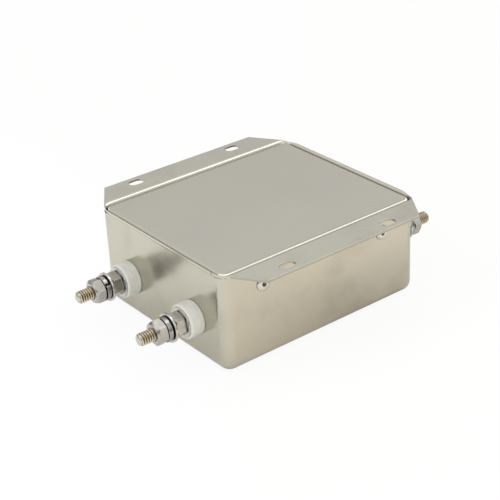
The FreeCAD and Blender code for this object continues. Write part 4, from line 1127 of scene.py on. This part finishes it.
def make_floor():
    """Pale floor with a square opening under the closed face, so that the face can be looked at.

    It is white to the camera but for a faint shadow and a painted shadow beside the part, and seen
    through from below. Metal sees more of both shadows, a warm front, a cool back and a dark room far
    off.
    """
    square = np.array([[-1, -1, 0], [1, -1, 0], [1, 1, 0], [-1, 1, 0]])
    opening = square * (half_length - OPENING_INSET, half_width - OPENING_INSET, 0) * MM
    edges = np.concatenate([square * FLOOR_SIZE, opening]) - (0, 0, FLOOR_GAP)
    turn = np.arange(4)
    sides = np.stack([turn, (turn + 1) % 4, (turn + 1) % 4 + 4, turn + 4], -1)
    mesh = bpy.data.meshes.new("floor")
    mesh.from_pydata(edges.tolist(), [], sides.tolist())
    floor = bpy.data.objects.new("floor", mesh)
    bpy.context.scene.collection.objects.link(floor)

    material = bpy.data.materials.new("pale floor")
    material.use_nodes = True
    material.node_tree.nodes.clear()
    nodes = Nodes(material.node_tree)
    place = nodes.coordinates()
    x, y, _ = nodes.apart(place)
    away = nodes.distance(place)
    in_front = nodes.ranged(nodes.worked("SUBTRACT", x, y), 0, 1, *FLOOR_TURN, "SMOOTHSTEP")
    near = nodes.mixed(in_front, FLOOR_BACK, FLOOR_FRONT)
    # painted shadow on the floor beside the part
    painted_shadow = nodes.times(nodes.ranged(y, 0, 0.5, *FLOOR_SHADE_Y, "SMOOTHSTEP"),
                         nodes.ranged(x, 0, 1, *FLOOR_SHADE_X, "SMOOTHSTEP"))
    near = nodes.mixed(painted_shadow, near, FLOOR_SHADE)
    dark = nodes.ranged(away, 0, 1, *FLOOR_FAR_OFF, "SMOOTHSTEP")
    glossy = nodes.either_ray("Is Glossy Ray")
    seen = nodes.times(nodes.either_ray("Is Camera Ray", "Is Transmission Ray"), FLOOR_WHITE)
    shine = nodes.ranged(away, *FLOOR_SHINE, *FLOOR_FAR_OFF, "SMOOTHSTEP")
    shown = nodes.mixed(glossy, (1.0, 1.0, 1.0), nodes.mixed(dark, near, FLOOR_FAR))
    glow = nodes.add("ShaderNodeEmission", {"Color": shown}).outputs[0]
    paper = nodes.add("ShaderNodeBsdfDiffuse", {"Color": near}).outputs[0]
    lit = nodes.shaders_mixed(nodes.worked("ADD", seen, nodes.times(glossy, shine)), paper, glow)
    from_below = nodes.add("ShaderNodeNewGeometry").outputs["Backfacing"]
    clear = nodes.add("ShaderNodeBsdfTransparent").outputs[0]
    nodes.add("ShaderNodeOutputMaterial", {"Surface": nodes.shaders_mixed(from_below, lit, clear)})
    mesh.materials.append(material)


def make_world():
    """White to the camera, soft white light on the part, and a studio's shades for metal."""
    world = bpy.data.worlds.new("studio")
    bpy.context.scene.world = world
    world.use_nodes = True
    world.node_tree.nodes.clear()
    nodes = Nodes(world.node_tree)
    height = nodes.worked("ABSOLUTE", nodes.apart(nodes.coordinates("Generated"))[2])
    ramp = nodes.add("ShaderNodeValToRGB", {0: height})
    ramp.color_ramp.interpolation = "EASE"
    while len(ramp.color_ramp.elements) < len(STUDIO_SHADES):
        ramp.color_ramp.elements.new(0.5)
    for element, (place, shade) in zip(ramp.color_ramp.elements, STUDIO_SHADES):
        element.position = place
        element.color = (shade, shade, shade, 1)
    soft, white, shaded = (
        nodes.add("ShaderNodeBackground", {"Color": colour, "Strength": strength}).outputs[0]
        for colour, strength in (((1, 1, 1), WORLD_LEVEL), ((1, 1, 1), 1), (ramp.outputs["Color"], 1)))
    light = nodes.shaders_mixed(nodes.either_ray("Is Glossy Ray"), soft, shaded)
    seen = nodes.either_ray("Is Camera Ray", "Is Transmission Ray")
    nodes.add("ShaderNodeOutputWorld", {"Surface": nodes.shaders_mixed(seen, light, white)})


def make_lamps():
    """Area lamps that face the part; power is brightness times pi times the lit area."""
    for name, (place, widths, bright) in LAMPS.items():
        data = bpy.data.lights.new(name, "AREA")
        data.shape = "RECTANGLE"
        data.size, data.size_y = widths
        data.energy = bright * math.pi * widths[0] * widths[1]
        lamp = bpy.data.objects.new(name, data)
        lamp.location = place
        lamp.rotation_euler = (-Vector(place)).to_track_quat("-Z", "Y").to_euler()
        bpy.context.scene.collection.objects.link(lamp)


make_camera()
make_world()
make_lamps()
make_floor()

make_can(plated_sheet(*CAN_PLATING, can_marks))
make_cover(plated_sheet(*COVER_PLATING, cover_marks))
make_rivets(plated_hardware(*RIVET_PLATING))
brass, cream = stud_brass(), bush_cream()
for stud_end, stud_side in STUDS:
    make_stud(stud_end, stud_side, brass)
    make_bush(stud_end, stud_side, cream)
washer_plating = plated_hardware(*WASHER_PLATING)
spring_plating = plated_hardware(*SPRING_PLATING)
nut_plating = plated_hardware(*NUT_PLATING)
make_washers("clamp_washers", "bush_washers", washer_plating, CLAMP_WASHER_WIDER, CLAMP_DEEPER)
make_washers("contact_washers", "lug_washers", washer_plating)
make_spring_washers(spring_plating)
make_nuts("clamp_nuts", "bush_nuts", CLAMP_NUT_SPIN, nut_plating, CLAMP_DEEPER)
make_nuts("terminal_nuts", "lug_nuts", TERMINAL_NUT_SPIN, nut_plating)
make_nuts("inner_nuts", "strap_nuts", INNER_NUT_SPIN, nut_plating)
finish_inner_nodes()

bpy.context.scene.view_settings.view_transform = "Standard"
